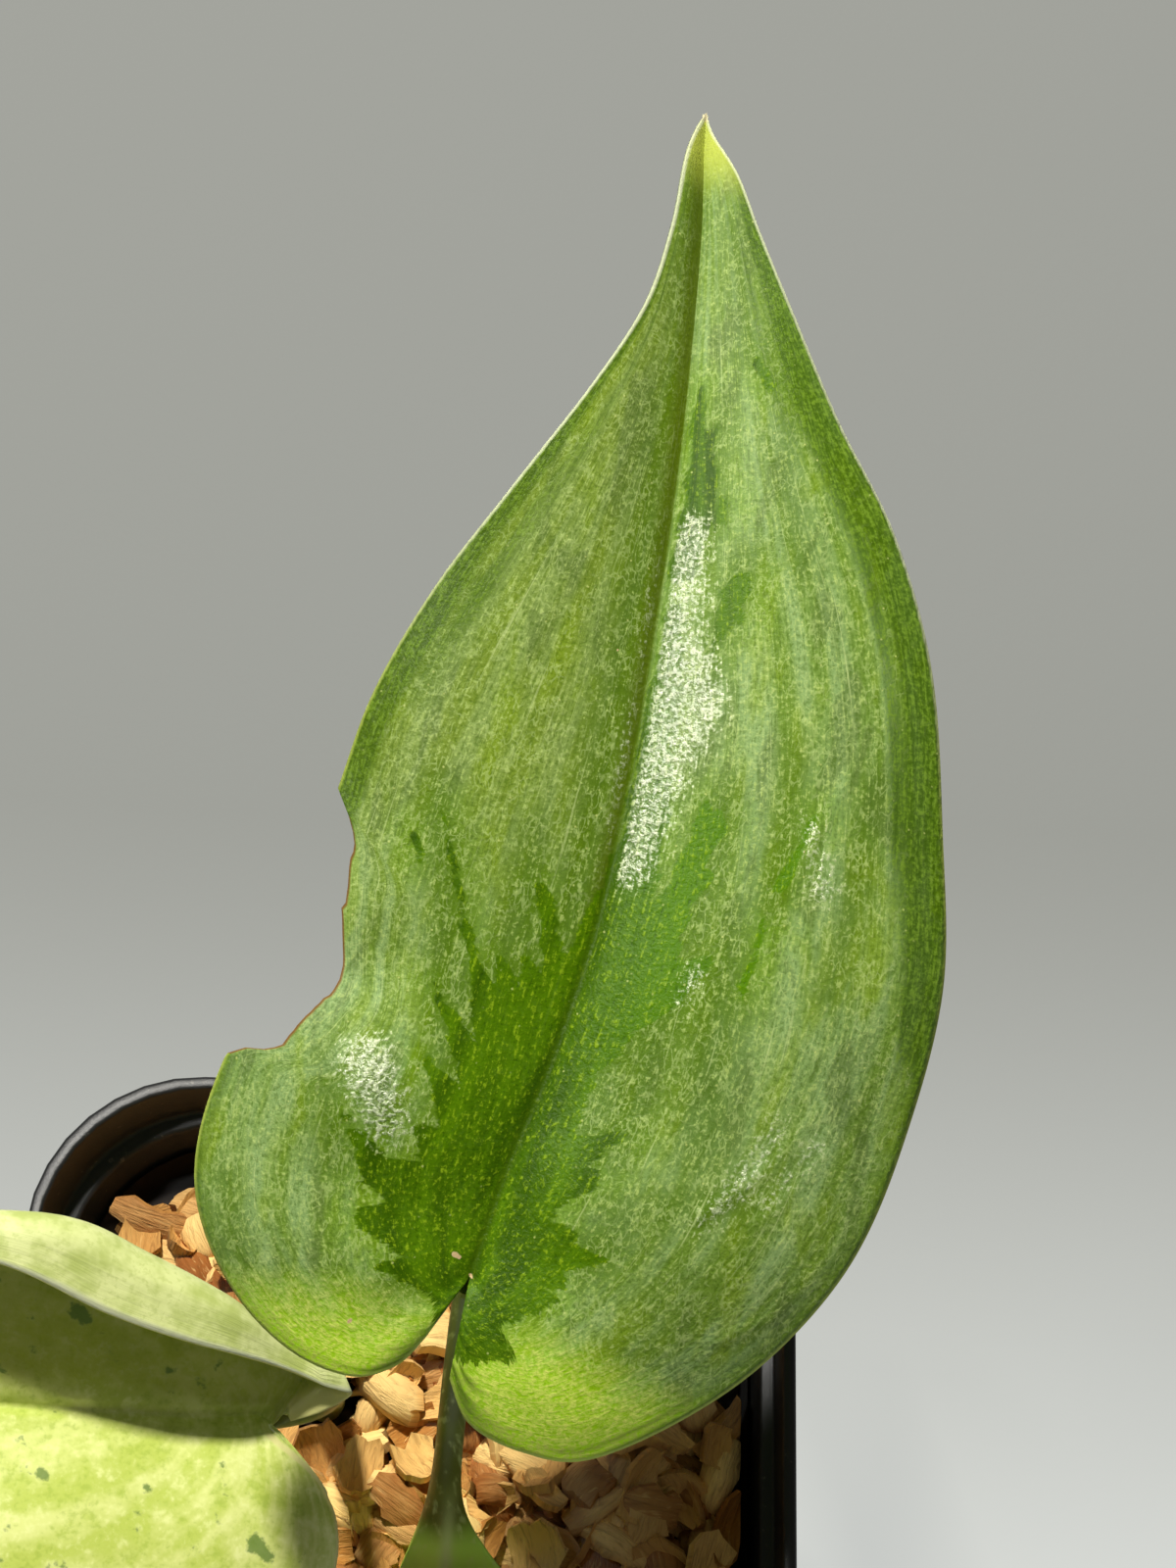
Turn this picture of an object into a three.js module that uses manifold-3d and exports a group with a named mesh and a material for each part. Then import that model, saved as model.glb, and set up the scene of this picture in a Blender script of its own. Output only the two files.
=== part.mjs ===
// Potted Scindapsus treubii 'Super Star': a rooted cutting with two leaves in a square nursery pot.
// Millimetres, +Z up. The origin is the middle of the pot's base, on the surface that it stands on.
// The plant is a buried stem with roots, and two leaves: the upper one stands over the pot and
// faces up and forward, the side one reaches out to the left.

import * as THREE from 'three';
import { mergeVertices } from 'three/addons/utils/BufferGeometryUtils.js';
import Module from 'manifold-3d';

const wasm = await Module();
wasm.setup();

// Clearance between pieces that touch on the real plant
const CLEARANCE = 0.3;

// Pot: 9 cm square nursery pot, injection moulded
const POT_WIDTH = 90;
const POT_HEIGHT = 80;
const POT_BASE_WIDTH = 64;
const POT_WALL = 1.2;
const POT_CORNER = 0.42; // corner radius as a share of the half-width
const RIM_LIP = 2.4; // how far the collar round the rim stands out from the wall
const RIM_DEPTH = 8;
const RIM_WALL = 1.6;
const RIM_TAPER = 0.4;
const FOOT_HEIGHT = 2.5;
const FOOT_WIDTH = 3.2;
const PAD_RADIUS = 11;
const DRAIN_HOLE_RADIUS = 3.2;
const DRAIN_HOLE_CIRCLE = 21;
const DRAIN_HOLES = 8;

// Potting mix: chips of husk and bark
const MIX_TOP = 69;
const MIX_HUMP = 0.8;
const CHIP_LENGTH = 13;
const CHIP_WIDTH = 7.5;
const CHIP_THICKNESS = 1.8;
const CHIP_SUNK = 0.32; // share of a chip's height that is below the bed's top
// Rings of chips, from the middle to the wall: [distance out, number of chips]
const CHIP_RINGS = [[0, 1], [7.5, 5], [14.5, 9], [21.5, 13], [28.5, 16], [36, 20]];

// Stem: lies just under the chips, with one node below each leaf stalk
const STEM_RADIUS = 3.4;
const STEM_NODE_SWELL = 0.7;
const STEM_OLD_END = [-14, 18.5, 60];
const STEM_SIDE_NODE = [-10, 10, 60.5];
const STEM_UPPER_NODE = [5, -11, 61];
const STEM_TIP = [7, -15.5, 62.5];
const ROOT_RADIUS = 1.1;
const ROOT_TIP_RADIUS = 0.5;
const ROOT_DEPTH = 44;
const ROOTS_PER_NODE = 3;

// Leaf stalks
const STALK_RADIUS = 1.35;
const STALK_FOOT_RADIUS = 2.3;
const SHEATH_LEFT_WING = 5.6;
const SHEATH_RIGHT_WING = 14;
const SHEATH_THICKNESS = 1.1;
const SHEATH_TOP = 0.68; // share of the stalk that the sheath reaches up

// Blades
const BLADE_THICKNESS = 0.9;
const RIB_DEPTH = 1.3; // how far the midrib stands out below the blade

// Each vein leaves the midrib and runs forward to the margin: [across, along] on the midrib, on the
// left margin and on the right margin, from the notch at the stalk to the tip.
const UPPER_VEINS = [
  { rib: [0.0, 0.0], left: [-2.8, -6.0], right: [0.0, -9.0] },
  { rib: [0.0, 0.2], left: [-4.8, -8.8], right: [2.5, -12.5] },
  { rib: [0.1, 0.5], left: [-8.5, -10.5], right: [7.5, -14.0] },
  { rib: [0.1, 1.0], left: [-14.0, -9.5], right: [13.5, -13.5] },
  { rib: [0.3, 2.3], left: [-19.5, -6.0], right: [21.5, -8.0] },
  { rib: [0.6, 4.7], left: [-24.0, -0.5], right: [28.0, -1.0] },
  { rib: [1.0, 7.7], left: [-26.0, 5.5], right: [33.0, 8.0] },
  { rib: [1.6, 11.4], left: [-25.5, 13.5], right: [35.5, 19.0] },
  { rib: [2.5, 15.6], left: [-22.5, 25.0], right: [36.5, 33.0] },
  { rib: [3.6, 21.8], left: [-20.5, 39.5], right: [34.0, 47.0] },
  { rib: [4.9, 32.5], left: [-19.0, 49.0], right: [30.5, 61.5] },
  { rib: [5.3, 45.8], left: [-15.5, 59.0], right: [25.0, 73.5] },
  { rib: [5.0, 58.5], left: [-10.5, 69.5], right: [18.0, 83.5] },
  { rib: [4.4, 71.7], left: [-5.5, 80.5], right: [12.0, 93.5] },
  { rib: [3.4, 85.4], left: [-2.0, 90.5], right: [7.4, 101.5] },
  { rib: [2.0, 99.6], left: [-1.0, 99.5], right: [4.3, 107.3] },
  { rib: [0.6, 109.2], left: [-1.0, 108.5], right: [1.2, 111.4] },
  { rib: [0.0, 114.0], left: [0.0, 114.0], right: [0.0, 114.0] },
];
// What an insect has eaten from the left margin: [along, how far across the blade is gone]
const UPPER_BITE = [
  [14.2, -26.5], [15.1, -24.5], [16.0, -23.0], [16.6, -20.2], [19.1, -19.0], [21.5, -17.5], [23.5, -16.6],
  [27.4, -17.3], [28.5, -17.9], [31.7, -17.7], [36.5, -18.3], [38.7, -19.5], [39.5, -21.5],
];
// A section is the blade's height from the midrib to the margin, as shares of the half's width:
// [share of the way, height]. The blade's own section turns into the one at its tip on the way.
// Curl is how far the right half leans back over the midrib, in the same shares.
const UPPER_LEAF = {
  veins: UPPER_VEINS,
  bite: UPPER_BITE,
  notch: [11.2, 3.4, 142.7],
  along: [0.16, 0.94, 0.3],
  across: [0.99, -0.14, -0.09],
  section: {
    left: [[0, 0], [0.2, 0.04], [0.4, 0.06], [0.6, 0.055], [0.8, 0.02], [1, -0.04]],
    right: [[0, 0], [0.1, 0.045], [0.2, 0.08], [0.4, 0.12], [0.6, 0.12], [0.8, 0.07], [1, -0.02]],
  },
  tipSection: {
    left: [[0, 0], [0.2, 0.18], [0.4, 0.38], [0.6, 0.58], [0.8, 0.76], [1, 0.9]],
    right: [[0, 0], [0.1, 0.05], [0.2, 0.09], [0.4, 0.16], [0.6, 0.2], [0.8, 0.21], [1, 0.18]],
  },
  curl: [[0, 0], [1, 0]],
  tipFrom: 0.5,
  bow: 0.12,
  arch: (a) => 5 * ((45 / 60) ** 2 - ((a - 45) / 60) ** 2),
  rows: 32, // rows of faces from notch to tip
  steps: 7, // faces from midrib to margin
};

const SIDE_VEINS = [
  { rib: [-1.2, -0.4], left: [-2.2, 0.0], right: [1.1, -2.1] },
  { rib: [-0.6, -0.1], left: [-6.5, -5.6], right: [4.5, -4.3] },
  { rib: [-0.3, 0.2], left: [-8.0, -6.6], right: [8.2, -6.1] },
  { rib: [0.0, 0.8], left: [-10.0, -7.4], right: [10.7, -6.8] },
  { rib: [0.0, 1.5], left: [-13.5, -7.6], right: [10.9, -5.5] },
  { rib: [-0.1, 2.5], left: [-17.5, -6.5], right: [11.0, -3.5] },
  { rib: [-0.2, 4.0], left: [-22.0, -3.0], right: [13.0, 0.3] },
  { rib: [-0.3, 6.5], left: [-25.5, 5.5], right: [18.5, 8.0] },
  { rib: [-0.3, 10.0], left: [-27.0, 18.0], right: [23.5, 18.5] },
  { rib: [-0.1, 15.0], left: [-26.0, 31.0], right: [27.0, 29.0] },
  { rib: [0.3, 23.0], left: [-22.5, 45.0], right: [24.0, 45.0] },
  { rib: [0.7, 35.0], left: [-17.5, 57.5], right: [18.5, 57.5] },
  { rib: [1.0, 52.0], left: [-10.5, 71.0], right: [11.0, 71.0] },
  { rib: [0.4, 71.0], left: [-4.5, 81.5], right: [4.5, 81.5] },
  { rib: [0.0, 88.0], left: [0.0, 88.0], right: [0.0, 88.0] },
];
// Its right half, the far one, is rolled up and over towards the other half
const SIDE_LEAF = {
  veins: SIDE_VEINS,
  bite: null,
  notch: [-10.5, -1.4, 107.8],
  along: [-0.935, -0.1, 0.34],
  across: [-0.054, 0.988, 0.142],
  section: {
    left: [[0, 0], [0.2, 0.075], [0.4, 0.12], [0.6, 0.13], [0.8, 0.1], [1, 0.02]],
    right: [
      [0, 0], [0.28, 0.14], [0.56, 0.28], [0.64, 0.34], [0.72, 0.42], [0.81, 0.485], [0.9, 0.5], [1, 0.505],
    ],
  },
  tipSection: {
    left: [[0, 0], [0.2, 0.1], [0.4, 0.18], [0.6, 0.23], [0.8, 0.25], [1, 0.25]],
    right: [[0, 0], [0.2, 0.14], [0.4, 0.27], [0.6, 0.35], [0.8, 0.38], [1, 0.38]],
  },
  curl: [
    [0, 0], [0.28, 0.035], [0.56, 0.075], [0.64, 0.105], [0.72, 0.185], [0.81, 0.33], [0.9, 0.51], [1, 0.71],
  ],
  tipFrom: 0.5,
  bow: 0.12,
  arch: (a) => 0.1 * a - 0.0019 * a * a,
  rows: 28,
  steps: 12,
};

// A leaf's own axes at right angles, and where its stalk ends: just below the midrib, at the notch
function setAxes(leaf) {
  leaf.acrossAxis = new THREE.Vector3(...leaf.across).normalize();
  leaf.upAxis = leaf.acrossAxis.clone().cross(new THREE.Vector3(...leaf.along)).normalize();
  leaf.alongAxis = leaf.upAxis.clone().cross(leaf.acrossAxis);
  const depth = BLADE_THICKNESS / 2 + RIB_DEPTH + CLEARANCE;
  leaf.stalkEnd = new THREE.Vector3(...leaf.notch).addScaledVector(leaf.upAxis, -depth);
}
setAxes(UPPER_LEAF);
setAxes(SIDE_LEAF);

// Closed geometry of merged corners, without the flat triangles at poles and seams
function closed(geometry) {
  const bare = geometry.clone();
  bare.deleteAttribute('normal');
  bare.deleteAttribute('uv');
  const merged = mergeVertices(bare, 1e-4);
  const index = [];
  for (let i = 0; i < merged.index.count; i += 3) {
    const corners = [0, 1, 2].map((k) => merged.index.getX(i + k));
    if (new Set(corners).size === 3) index.push(...corners);
  }
  merged.setIndex(index);
  if (volume(merged) < 0) {
    for (let i = 0; i < index.length; i += 3) [index[i], index[i + 1]] = [index[i + 1], index[i]];
    merged.setIndex(index);
  }
  return merged;
}

function volume(geometry) {
  const [a, b, c] = [new THREE.Vector3(), new THREE.Vector3(), new THREE.Vector3()];
  let sum = 0;
  for (let i = 0; i < geometry.index.count; i += 3) {
    a.fromBufferAttribute(geometry.attributes.position, geometry.index.getX(i));
    b.fromBufferAttribute(geometry.attributes.position, geometry.index.getX(i + 1));
    c.fromBufferAttribute(geometry.attributes.position, geometry.index.getX(i + 2));
    sum += a.dot(b.cross(c)) / 6;
  }
  return sum;
}

function solid(geometry) {
  const shape = closed(geometry);
  return new wasm.Manifold(new wasm.Mesh({
    numProp: 3,
    vertProperties: new Float32Array(shape.attributes.position.array),
    triVerts: new Uint32Array(shape.index.array),
  }));
}

// The largest body of a cut or joined solid: crumbs that a cut frees are dropped, and a hollow that
// a join seals is filled
function largest(shape) {
  return shape.decompose().reduce((best, body) => (body.volume() > best.volume() ? body : best));
}

function geometryOf(shape) {
  const mesh = shape.getMesh();
  const geometry = new THREE.BufferGeometry();
  geometry.setAttribute('position', new THREE.BufferAttribute(new Float32Array(mesh.vertProperties), 3));
  geometry.setIndex([...mesh.triVerts]);
  return closed(geometry);
}

function seeded(seed) {
  let state = seed;
  return () => {
    state = (state * 1664525 + 1013904223) % 4294967296;
    return state / 4294967296;
  };
}

// Point on a square with round corners and half-width 1, a share q of the way round
function squarePoint(q) {
  const flat = 1 - POT_CORNER;
  const quarter = Math.floor(q * 4 + 1e-6);
  const f = q * 4 - quarter;
  const turn = quarter * Math.PI / 2;
  let point;
  if (f < 0.2) point = [1, flat * f / 0.2];
  else if (f > 0.8) point = [flat * (1 - f) / 0.2, 1];
  else {
    const corner = (f - 0.2) / 0.6 * Math.PI / 2;
    point = [flat + POT_CORNER * Math.cos(corner), flat + POT_CORNER * Math.sin(corner)];
  }
  return new THREE.Vector2(...point).rotateAround(new THREE.Vector2(), turn);
}

// A lathe whose rings are squares with round corners; the profile is [half-width, height]
function squareLathe(profile) {
  const SEGMENTS = 40;
  const lathe = new THREE.LatheGeometry(profile.map((p) => new THREE.Vector2(...p)), SEGMENTS);
  const position = lathe.attributes.position;
  for (let i = 0; i < position.count; i += 1) {
    const step = Math.floor(i / profile.length) % SEGMENTS;
    const [half, height] = profile[i % profile.length];
    const around = squarePoint(step / SEGMENTS);
    position.setXYZ(i, half * around.x, half * around.y, height);
  }
  return lathe;
}

// Slides a point of a bar's last ring along the bar, until it lies in the plane across normal
function mitre(position, i, curve, normal) {
  const tangent = curve.getTangent(1);
  const point = new THREE.Vector3().fromBufferAttribute(position, i);
  const height = point.clone().sub(curve.getPoint(1)).dot(normal);
  point.addScaledVector(tangent, -height / tangent.dot(normal));
  position.setXYZ(i, point.x, point.y, point.z);
}

// A round bar along a curve, with a radius that changes on the way
function bar(curve, radiusAt, sides, steps, endNormal) {
  const frames = curve.computeFrenetFrames(steps, false);
  const cylinder = new THREE.CylinderGeometry(1, 1, 1, sides, steps);
  const position = cylinder.attributes.position;
  for (let i = 0; i < position.count; i += 1) {
    const step = Math.round((position.getY(i) + 0.5) * steps);
    const radius = radiusAt(step / steps);
    const place = curve.getPoint(step / steps)
      .addScaledVector(frames.normals[step], position.getX(i) * radius)
      .addScaledVector(frames.binormals[step], position.getZ(i) * radius);
    position.setXYZ(i, place.x, place.y, place.z);
    if (endNormal && step === steps) mitre(position, i, curve, endNormal);
  }
  return cylinder;
}

const smooth = (x) => {
  const t = Math.min(Math.max(x, 0), 1);
  return t * t * (3 - 2 * t);
};

// Pot
function potGeometry() {
  const base = POT_BASE_WIDTH / 2;
  const top = POT_WIDTH / 2;
  const neck = top - RIM_LIP;
  const lipFoot = POT_HEIGHT - RIM_DEPTH;
  const rimInside = top - RIM_WALL;
  const floor = FOOT_HEIGHT + POT_WALL;
  const profile = [
    [0, 0], [PAD_RADIUS, 0], [PAD_RADIUS + 1, FOOT_HEIGHT], [base - FOOT_WIDTH, FOOT_HEIGHT],
    [base - FOOT_WIDTH + 0.5, 0], [base - 0.8, 0], [base, 0.8],
    [neck - 0.6, lipFoot - 0.6], [top - 0.5, lipFoot - 0.6],
    [top, POT_HEIGHT - 0.6], [top - 0.5, POT_HEIGHT],
    [rimInside + 0.3, POT_HEIGHT], [rimInside, POT_HEIGHT - 0.4],
    [rimInside - RIM_TAPER, lipFoot + POT_WALL], [neck - POT_WALL, lipFoot + POT_WALL - 0.6],
    [base - POT_WALL, floor + 1], [base - POT_WALL - 1.2, floor], [0, floor],
  ];
  let pot = solid(squareLathe(profile));
  for (let k = 0; k < DRAIN_HOLES; k += 1) {
    const turn = k / DRAIN_HOLES * 2 * Math.PI;
    const hole = new THREE.CylinderGeometry(DRAIN_HOLE_RADIUS, DRAIN_HOLE_RADIUS, 4 * FOOT_HEIGHT, 12);
    hole.rotateX(Math.PI / 2);
    hole.translate(DRAIN_HOLE_CIRCLE * Math.cos(turn), DRAIN_HOLE_CIRCLE * Math.sin(turn), floor);
    pot = pot.subtract(solid(hole));
  }
  return geometryOf(pot);
}

// Stem and roots, one grown piece; grow makes the same shape larger, for the hole it lies in
function stemSolid(grow) {
  const ends = [STEM_OLD_END, STEM_SIDE_NODE, STEM_UPPER_NODE, STEM_TIP];
  const line = new THREE.CatmullRomCurve3(ends.map((p) => new THREE.Vector3(...p)));
  const nodePlaces = [1 / 3, 2 / 3];
  const radiusAt = (u) => {
    const swell = nodePlaces.reduce((sum, at) => sum + Math.exp(-(((u - at) / 0.05) ** 2)), 0);
    const taper = 0.55 + 0.45 * smooth(Math.min(u, 1 - u) / 0.1);
    return STEM_RADIUS * taper + STEM_NODE_SWELL * swell + grow;
  };
  let stem = solid(bar(line, radiusAt, 10, 18));
  const random = seeded(11);
  for (const place of nodePlaces) {
    const node = line.getPoint(place);
    for (let k = 0; k < ROOTS_PER_NODE; k += 1) {
      const turn = (k + 0.5 + 0.4 * (random() - 0.5)) / ROOTS_PER_NODE * 2 * Math.PI;
      const spread = 9 + 6 * random();
      const depth = ROOT_DEPTH * (0.75 + 0.25 * random());
      const out = new THREE.Vector3(Math.cos(turn), Math.sin(turn), 0);
      const root = new THREE.CubicBezierCurve3(
        node.clone(),
        node.clone().addScaledVector(out, spread * 0.8).add(new THREE.Vector3(0, 0, -depth * 0.2)),
        node.clone().addScaledVector(out, spread).add(new THREE.Vector3(0, 0, -depth * 0.6)),
        node.clone().addScaledVector(out, spread * 0.9).add(new THREE.Vector3(0, 0, -depth)),
      );
      const rootRadius = (u) => ROOT_RADIUS + (ROOT_TIP_RADIUS - ROOT_RADIUS) * u + grow;
      stem = stem.add(solid(bar(root, rootRadius, 5, 6)));
    }
  }
  return stem;
}

// Stalk of the upper leaf: a round stalk that opens below into a gutter-shaped sheath with two thin wings
const UPPER_STALK_LINE = new THREE.CubicBezierCurve3(
  new THREE.Vector3(...STEM_UPPER_NODE).add(new THREE.Vector3(0, 0, 2)),
  new THREE.Vector3(6.4, -11.6, 88),
  new THREE.Vector3(8.2, -5.4, 116),
  UPPER_LEAF.stalkEnd,
);

function upperStalkSolid(grow) {
  const cylinder = new THREE.CylinderGeometry(1, 1, 1, 16, 18);
  const position = cylinder.attributes.position;
  const right = new THREE.Vector3(1, 0, 0);
  const place = new THREE.Vector3();
  for (let i = 0; i < position.count; i += 1) {
    const u = position.getY(i) + 0.5;
    const tangent = UPPER_STALK_LINE.getTangent(u);
    const front = new THREE.Vector3().crossVectors(right, tangent).normalize();
    const angle = Math.atan2(position.getZ(i), position.getX(i));
    const isCentre = Math.hypot(position.getX(i), position.getZ(i)) < 0.5;
    const section = isCentre ? [0, 0] : upperStalkSection(u, angle, grow);
    place.copy(UPPER_STALK_LINE.getPoint(u));
    place.addScaledVector(right, section[0]).addScaledVector(front, section[1]);
    position.setXYZ(i, place.x, place.y, place.z);
    if (u > 0.999) mitre(position, i, UPPER_STALK_LINE, UPPER_LEAF.upAxis);
  }
  return solid(cylinder);
}

// Point of the stalk's section at an angle from its right wing, as [to the right, to the front]
function upperStalkSection(u, angle, grow) {
  const sheath = smooth((SHEATH_TOP - u) / SHEATH_TOP * 1.15);
  const radius = THREE.MathUtils.lerp(STALK_FOOT_RADIUS, STALK_RADIUS, smooth(u * 1.4)) + grow;
  const round = [radius * Math.cos(angle), radius * Math.sin(angle)];
  const isRight = Math.cos(angle) > 0;
  const wingReach = isRight ? SHEATH_RIGHT_WING : SHEATH_LEFT_WING;
  const spread = isRight ? sheath ** 1.8 : sheath;
  const half = THREE.MathUtils.lerp(radius, wingReach, spread) + grow;
  const x = half * Math.cos(angle);
  const wingRise = 0.5 * sheath * Math.abs(x / half) ** 2 * half;
  const thin = SHEATH_THICKNESS / 2;
  const thickness = thin + grow + (radius - thin) * (1 - Math.abs(x / half)) ** 1.5;
  const around = Math.sign(Math.sin(angle)) * Math.abs(Math.sin(angle)) ** 0.6;
  const wing = [x, wingRise + thickness * around];
  return [0, 1].map((k) => THREE.MathUtils.lerp(round[k], wing[k], sheath));
}

// Stalk of the side leaf: a plain round stalk, bent down into the mix behind the blade's lobe
const SIDE_STALK_LINE = new THREE.CubicBezierCurve3(
  new THREE.Vector3(...STEM_SIDE_NODE).add(new THREE.Vector3(0, 0, 2)),
  new THREE.Vector3(-8, 9, 86),
  new THREE.Vector3(-1.5, 1.5, 99),
  SIDE_LEAF.stalkEnd,
);

function sideStalkSolid(grow) {
  const radiusAt = (u) => THREE.MathUtils.lerp(STALK_FOOT_RADIUS, STALK_RADIUS, smooth(u * 1.6)) + grow;
  return solid(bar(SIDE_STALK_LINE, radiusAt, 10, 14, SIDE_LEAF.upAxis));
}

// Potting mix: a bed that fills the pot below the rim, with curled chips standing out of its top
function chipGeometry(random) {
  const length = CHIP_LENGTH * (0.7 + 0.6 * random());
  const width = CHIP_WIDTH * (0.7 + 0.6 * random());
  const curl = length * (0.5 + 0.9 * random());
  const chip = new THREE.BoxGeometry(length, width, CHIP_THICKNESS, 2, 1, 1);
  const position = chip.attributes.position;
  for (let i = 0; i < position.count; i += 1) {
    const angle = position.getX(i) / curl;
    const reach = curl - position.getZ(i);
    const taper = 1 - 0.35 * Math.abs(position.getX(i) / length * 2) ** 2;
    position.setXYZ(i, reach * Math.sin(angle), position.getY(i) * taper, curl - reach * Math.cos(angle));
  }
  return chip;
}

// Space inside the pot, clear of its wall, up to a height; it widens above the ledge below the collar
function potRoom(top) {
  const foot = FOOT_HEIGHT + POT_WALL + CLEARANCE;
  const ledge = POT_HEIGHT - RIM_DEPTH + POT_WALL;
  const low = POT_BASE_WIDTH / 2 - POT_WALL - CLEARANCE;
  const high = POT_WIDTH / 2 - RIM_LIP - POT_WALL - CLEARANCE;
  const collar = POT_WIDTH / 2 - RIM_WALL - RIM_TAPER - CLEARANCE;
  const profile = [[0, foot], [low - 1.6, foot], [low - 0.3, foot + 1.4]];
  if (top <= ledge) profile.push([THREE.MathUtils.mapLinear(top, foot, ledge, low, high), top]);
  else profile.push([high, ledge - 0.6 + CLEARANCE], [collar, ledge + 0.4], [collar, top]);
  profile.push([0, top]);
  return profile;
}

// The bed's top is uneven: broad humps with smaller ones on them
function bedHeight(x, y) {
  const broad = Math.sin(0.31 * x + 1) * Math.cos(0.27 * y);
  const small = 0.6 * Math.sin(0.53 * y - 0.4 * x);
  return MIX_TOP + MIX_HUMP * (broad + small);
}

function mixBed() {
  const profile = potRoom(MIX_TOP);
  profile.pop();
  const edge = profile[profile.length - 1][0];
  profile.push(...[0.93, 0.8, 0.64, 0.48, 0.32, 0.16, 0].map((share) => [edge * share, MIX_TOP + 0.5]));
  const lathe = squareLathe(profile);
  const position = lathe.attributes.position;
  for (let i = 0; i < position.count; i += 1) {
    if (position.getZ(i) > MIX_TOP) position.setZ(i, bedHeight(position.getX(i), position.getY(i)));
  }
  return lathe;
}

function mixGeometry() {
  let mix = solid(mixBed());
  const random = seeded(5);
  for (const [distance, count] of CHIP_RINGS) {
    for (let k = 0; k < count; k += 1) {
      const around = squarePoint(((k + 0.7 * random()) / count) % 1).multiplyScalar(distance);
      const chip = chipGeometry(random);
      chip.rotateX((random() - 0.5) * 1.2 + (random() < 0.6 ? Math.PI : 0));
      chip.rotateY((random() - 0.5) * 0.9);
      chip.rotateZ(random() * 2 * Math.PI);
      chip.computeBoundingBox();
      const low = chip.boundingBox.min.z;
      const sunk = CHIP_SUNK * (chip.boundingBox.max.z - low);
      chip.translate(around.x, around.y, bedHeight(around.x, around.y) - low - sunk);
      mix = mix.add(solid(chip));
    }
  }
  mix = mix.intersect(solid(squareLathe(potRoom(POT_HEIGHT - 1))));
  for (const hole of [stemSolid(CLEARANCE), upperStalkSolid(CLEARANCE), sideStalkSolid(CLEARANCE)]) {
    mix = mix.subtract(hole);
  }
  return geometryOf(largest(mix));
}

// Blade: the vein table is followed by smooth curves, and each vein is an arc from midrib to margin
function tableCurve(veins, key) {
  return new THREE.SplineCurve(veins.map((vein) => new THREE.Vector2(...vein[key])));
}

function biteEdge(bite, along) {
  for (let k = 1; k < bite.length; k += 1) {
    const [a0, b0] = bite[k - 1];
    const [a1, b1] = bite[k];
    if (along >= a0 && along <= a1) return THREE.MathUtils.mapLinear(along, a0, a1, b0, b1);
  }
  return -Infinity;
}

// Share of a vein that is left between the midrib and the bite
function reachToBite(bite, curve) {
  const STEPS = 60;
  for (let k = 0; k <= STEPS; k += 1) {
    const point = curve.getPoint(k / STEPS);
    if (point.x < biteEdge(bite, point.y)) return (k - 0.5) / STEPS;
  }
  return 1;
}

function veinOf(leaf, side, u) {
  const sign = side === 'right' ? 1 : -1;
  const root = leaf.ribCurve.getPoint(u);
  const end = leaf.marginCurve[side].getPoint(u);
  const chord = end.clone().sub(root);
  const bow = leaf.bow * smooth((u - 0.3) / 0.3);
  const middle = root.clone().addScaledVector(chord, 0.5);
  middle.addScaledVector(new THREE.Vector2(chord.y, -chord.x), sign * bow);
  const RIB_SAMPLES = 200;
  let width = Infinity;
  for (let k = 0; k <= RIB_SAMPLES; k += 1) {
    width = Math.min(width, end.distanceTo(leaf.ribCurve.getPoint(k / RIB_SAMPLES)));
  }
  const curve = new THREE.QuadraticBezierCurve(root, middle, end);
  const reach = leaf.bite && side === 'left' ? reachToBite(leaf.bite, curve) : 1;
  const nearTip = smooth((u - leaf.tipFrom) / (1 - leaf.tipFrom));
  return { curve, width, reach, nearTip };
}

// Height of a section, or curl, at t: a smooth curve through its points, as steep at each as from
// one neighbour to the other
function sectionHeight(section, t) {
  const last = section.length - 1;
  const slopeAt = (k) => {
    const [x0, y0] = section[Math.max(k - 1, 0)];
    const [x1, y1] = section[Math.min(k + 1, last)];
    return (y1 - y0) / (x1 - x0);
  };
  let k = 0;
  while (k < last - 1 && t > section[k + 1][0]) k += 1;
  const [x0, y0] = section[k];
  const [x1, y1] = section[k + 1];
  const span = x1 - x0;
  const w = (t - x0) / span;
  return y0 * (1 + 2 * w) * (1 - w) ** 2 + y1 * (3 - 2 * w) * w * w
    + span * w * (1 - w) * (slopeAt(k) * (1 - w) - slopeAt(k + 1) * w);
}

// A bitten vein ends at the bite: its outer steps close up, and the inner ones stay in their rows
function bladePoint(leaf, side, vein, share) {
  const inner = 0.4;
  const t = share < inner ? share : THREE.MathUtils.mapLinear(share, inner, 1, inner, vein.reach);
  const point = vein.curve.getPoint(t);
  const blade = sectionHeight(leaf.section[side], t);
  const tip = sectionHeight(leaf.tipSection[side], t);
  const height = vein.width * THREE.MathUtils.lerp(blade, tip, vein.nearTip) + leaf.arch(point.y);
  const curl = side === 'right' ? sectionHeight(leaf.curl, t) * (1 - vein.nearTip) : 0;
  return new THREE.Vector3(...leaf.notch)
    .addScaledVector(leaf.acrossAxis, point.x - vein.width * curl)
    .addScaledVector(leaf.alongAxis, point.y)
    .addScaledVector(leaf.upAxis, height);
}

// Share of the vein table at each row of the mesh: rows lie closer together where the margin is bitten
function rowShares(leaf, rows) {
  const BITE_FROM = 6.4;
  const BITE_TO = 9.2;
  const ROWS_PER_VEIN = 7;
  const last = leaf.veins.length - 1;
  const shares = [];
  for (let i = 0; i <= rows; i += 1) {
    const vein = i / rows * last;
    if (!leaf.bite || vein < BITE_FROM || vein > BITE_TO) shares.push(vein / last);
  }
  if (!leaf.bite) return shares;
  for (let vein = BITE_FROM; vein <= BITE_TO; vein += 1 / ROWS_PER_VEIN) shares.push(vein / last);
  return shares.sort((a, b) => a - b);
}

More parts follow.
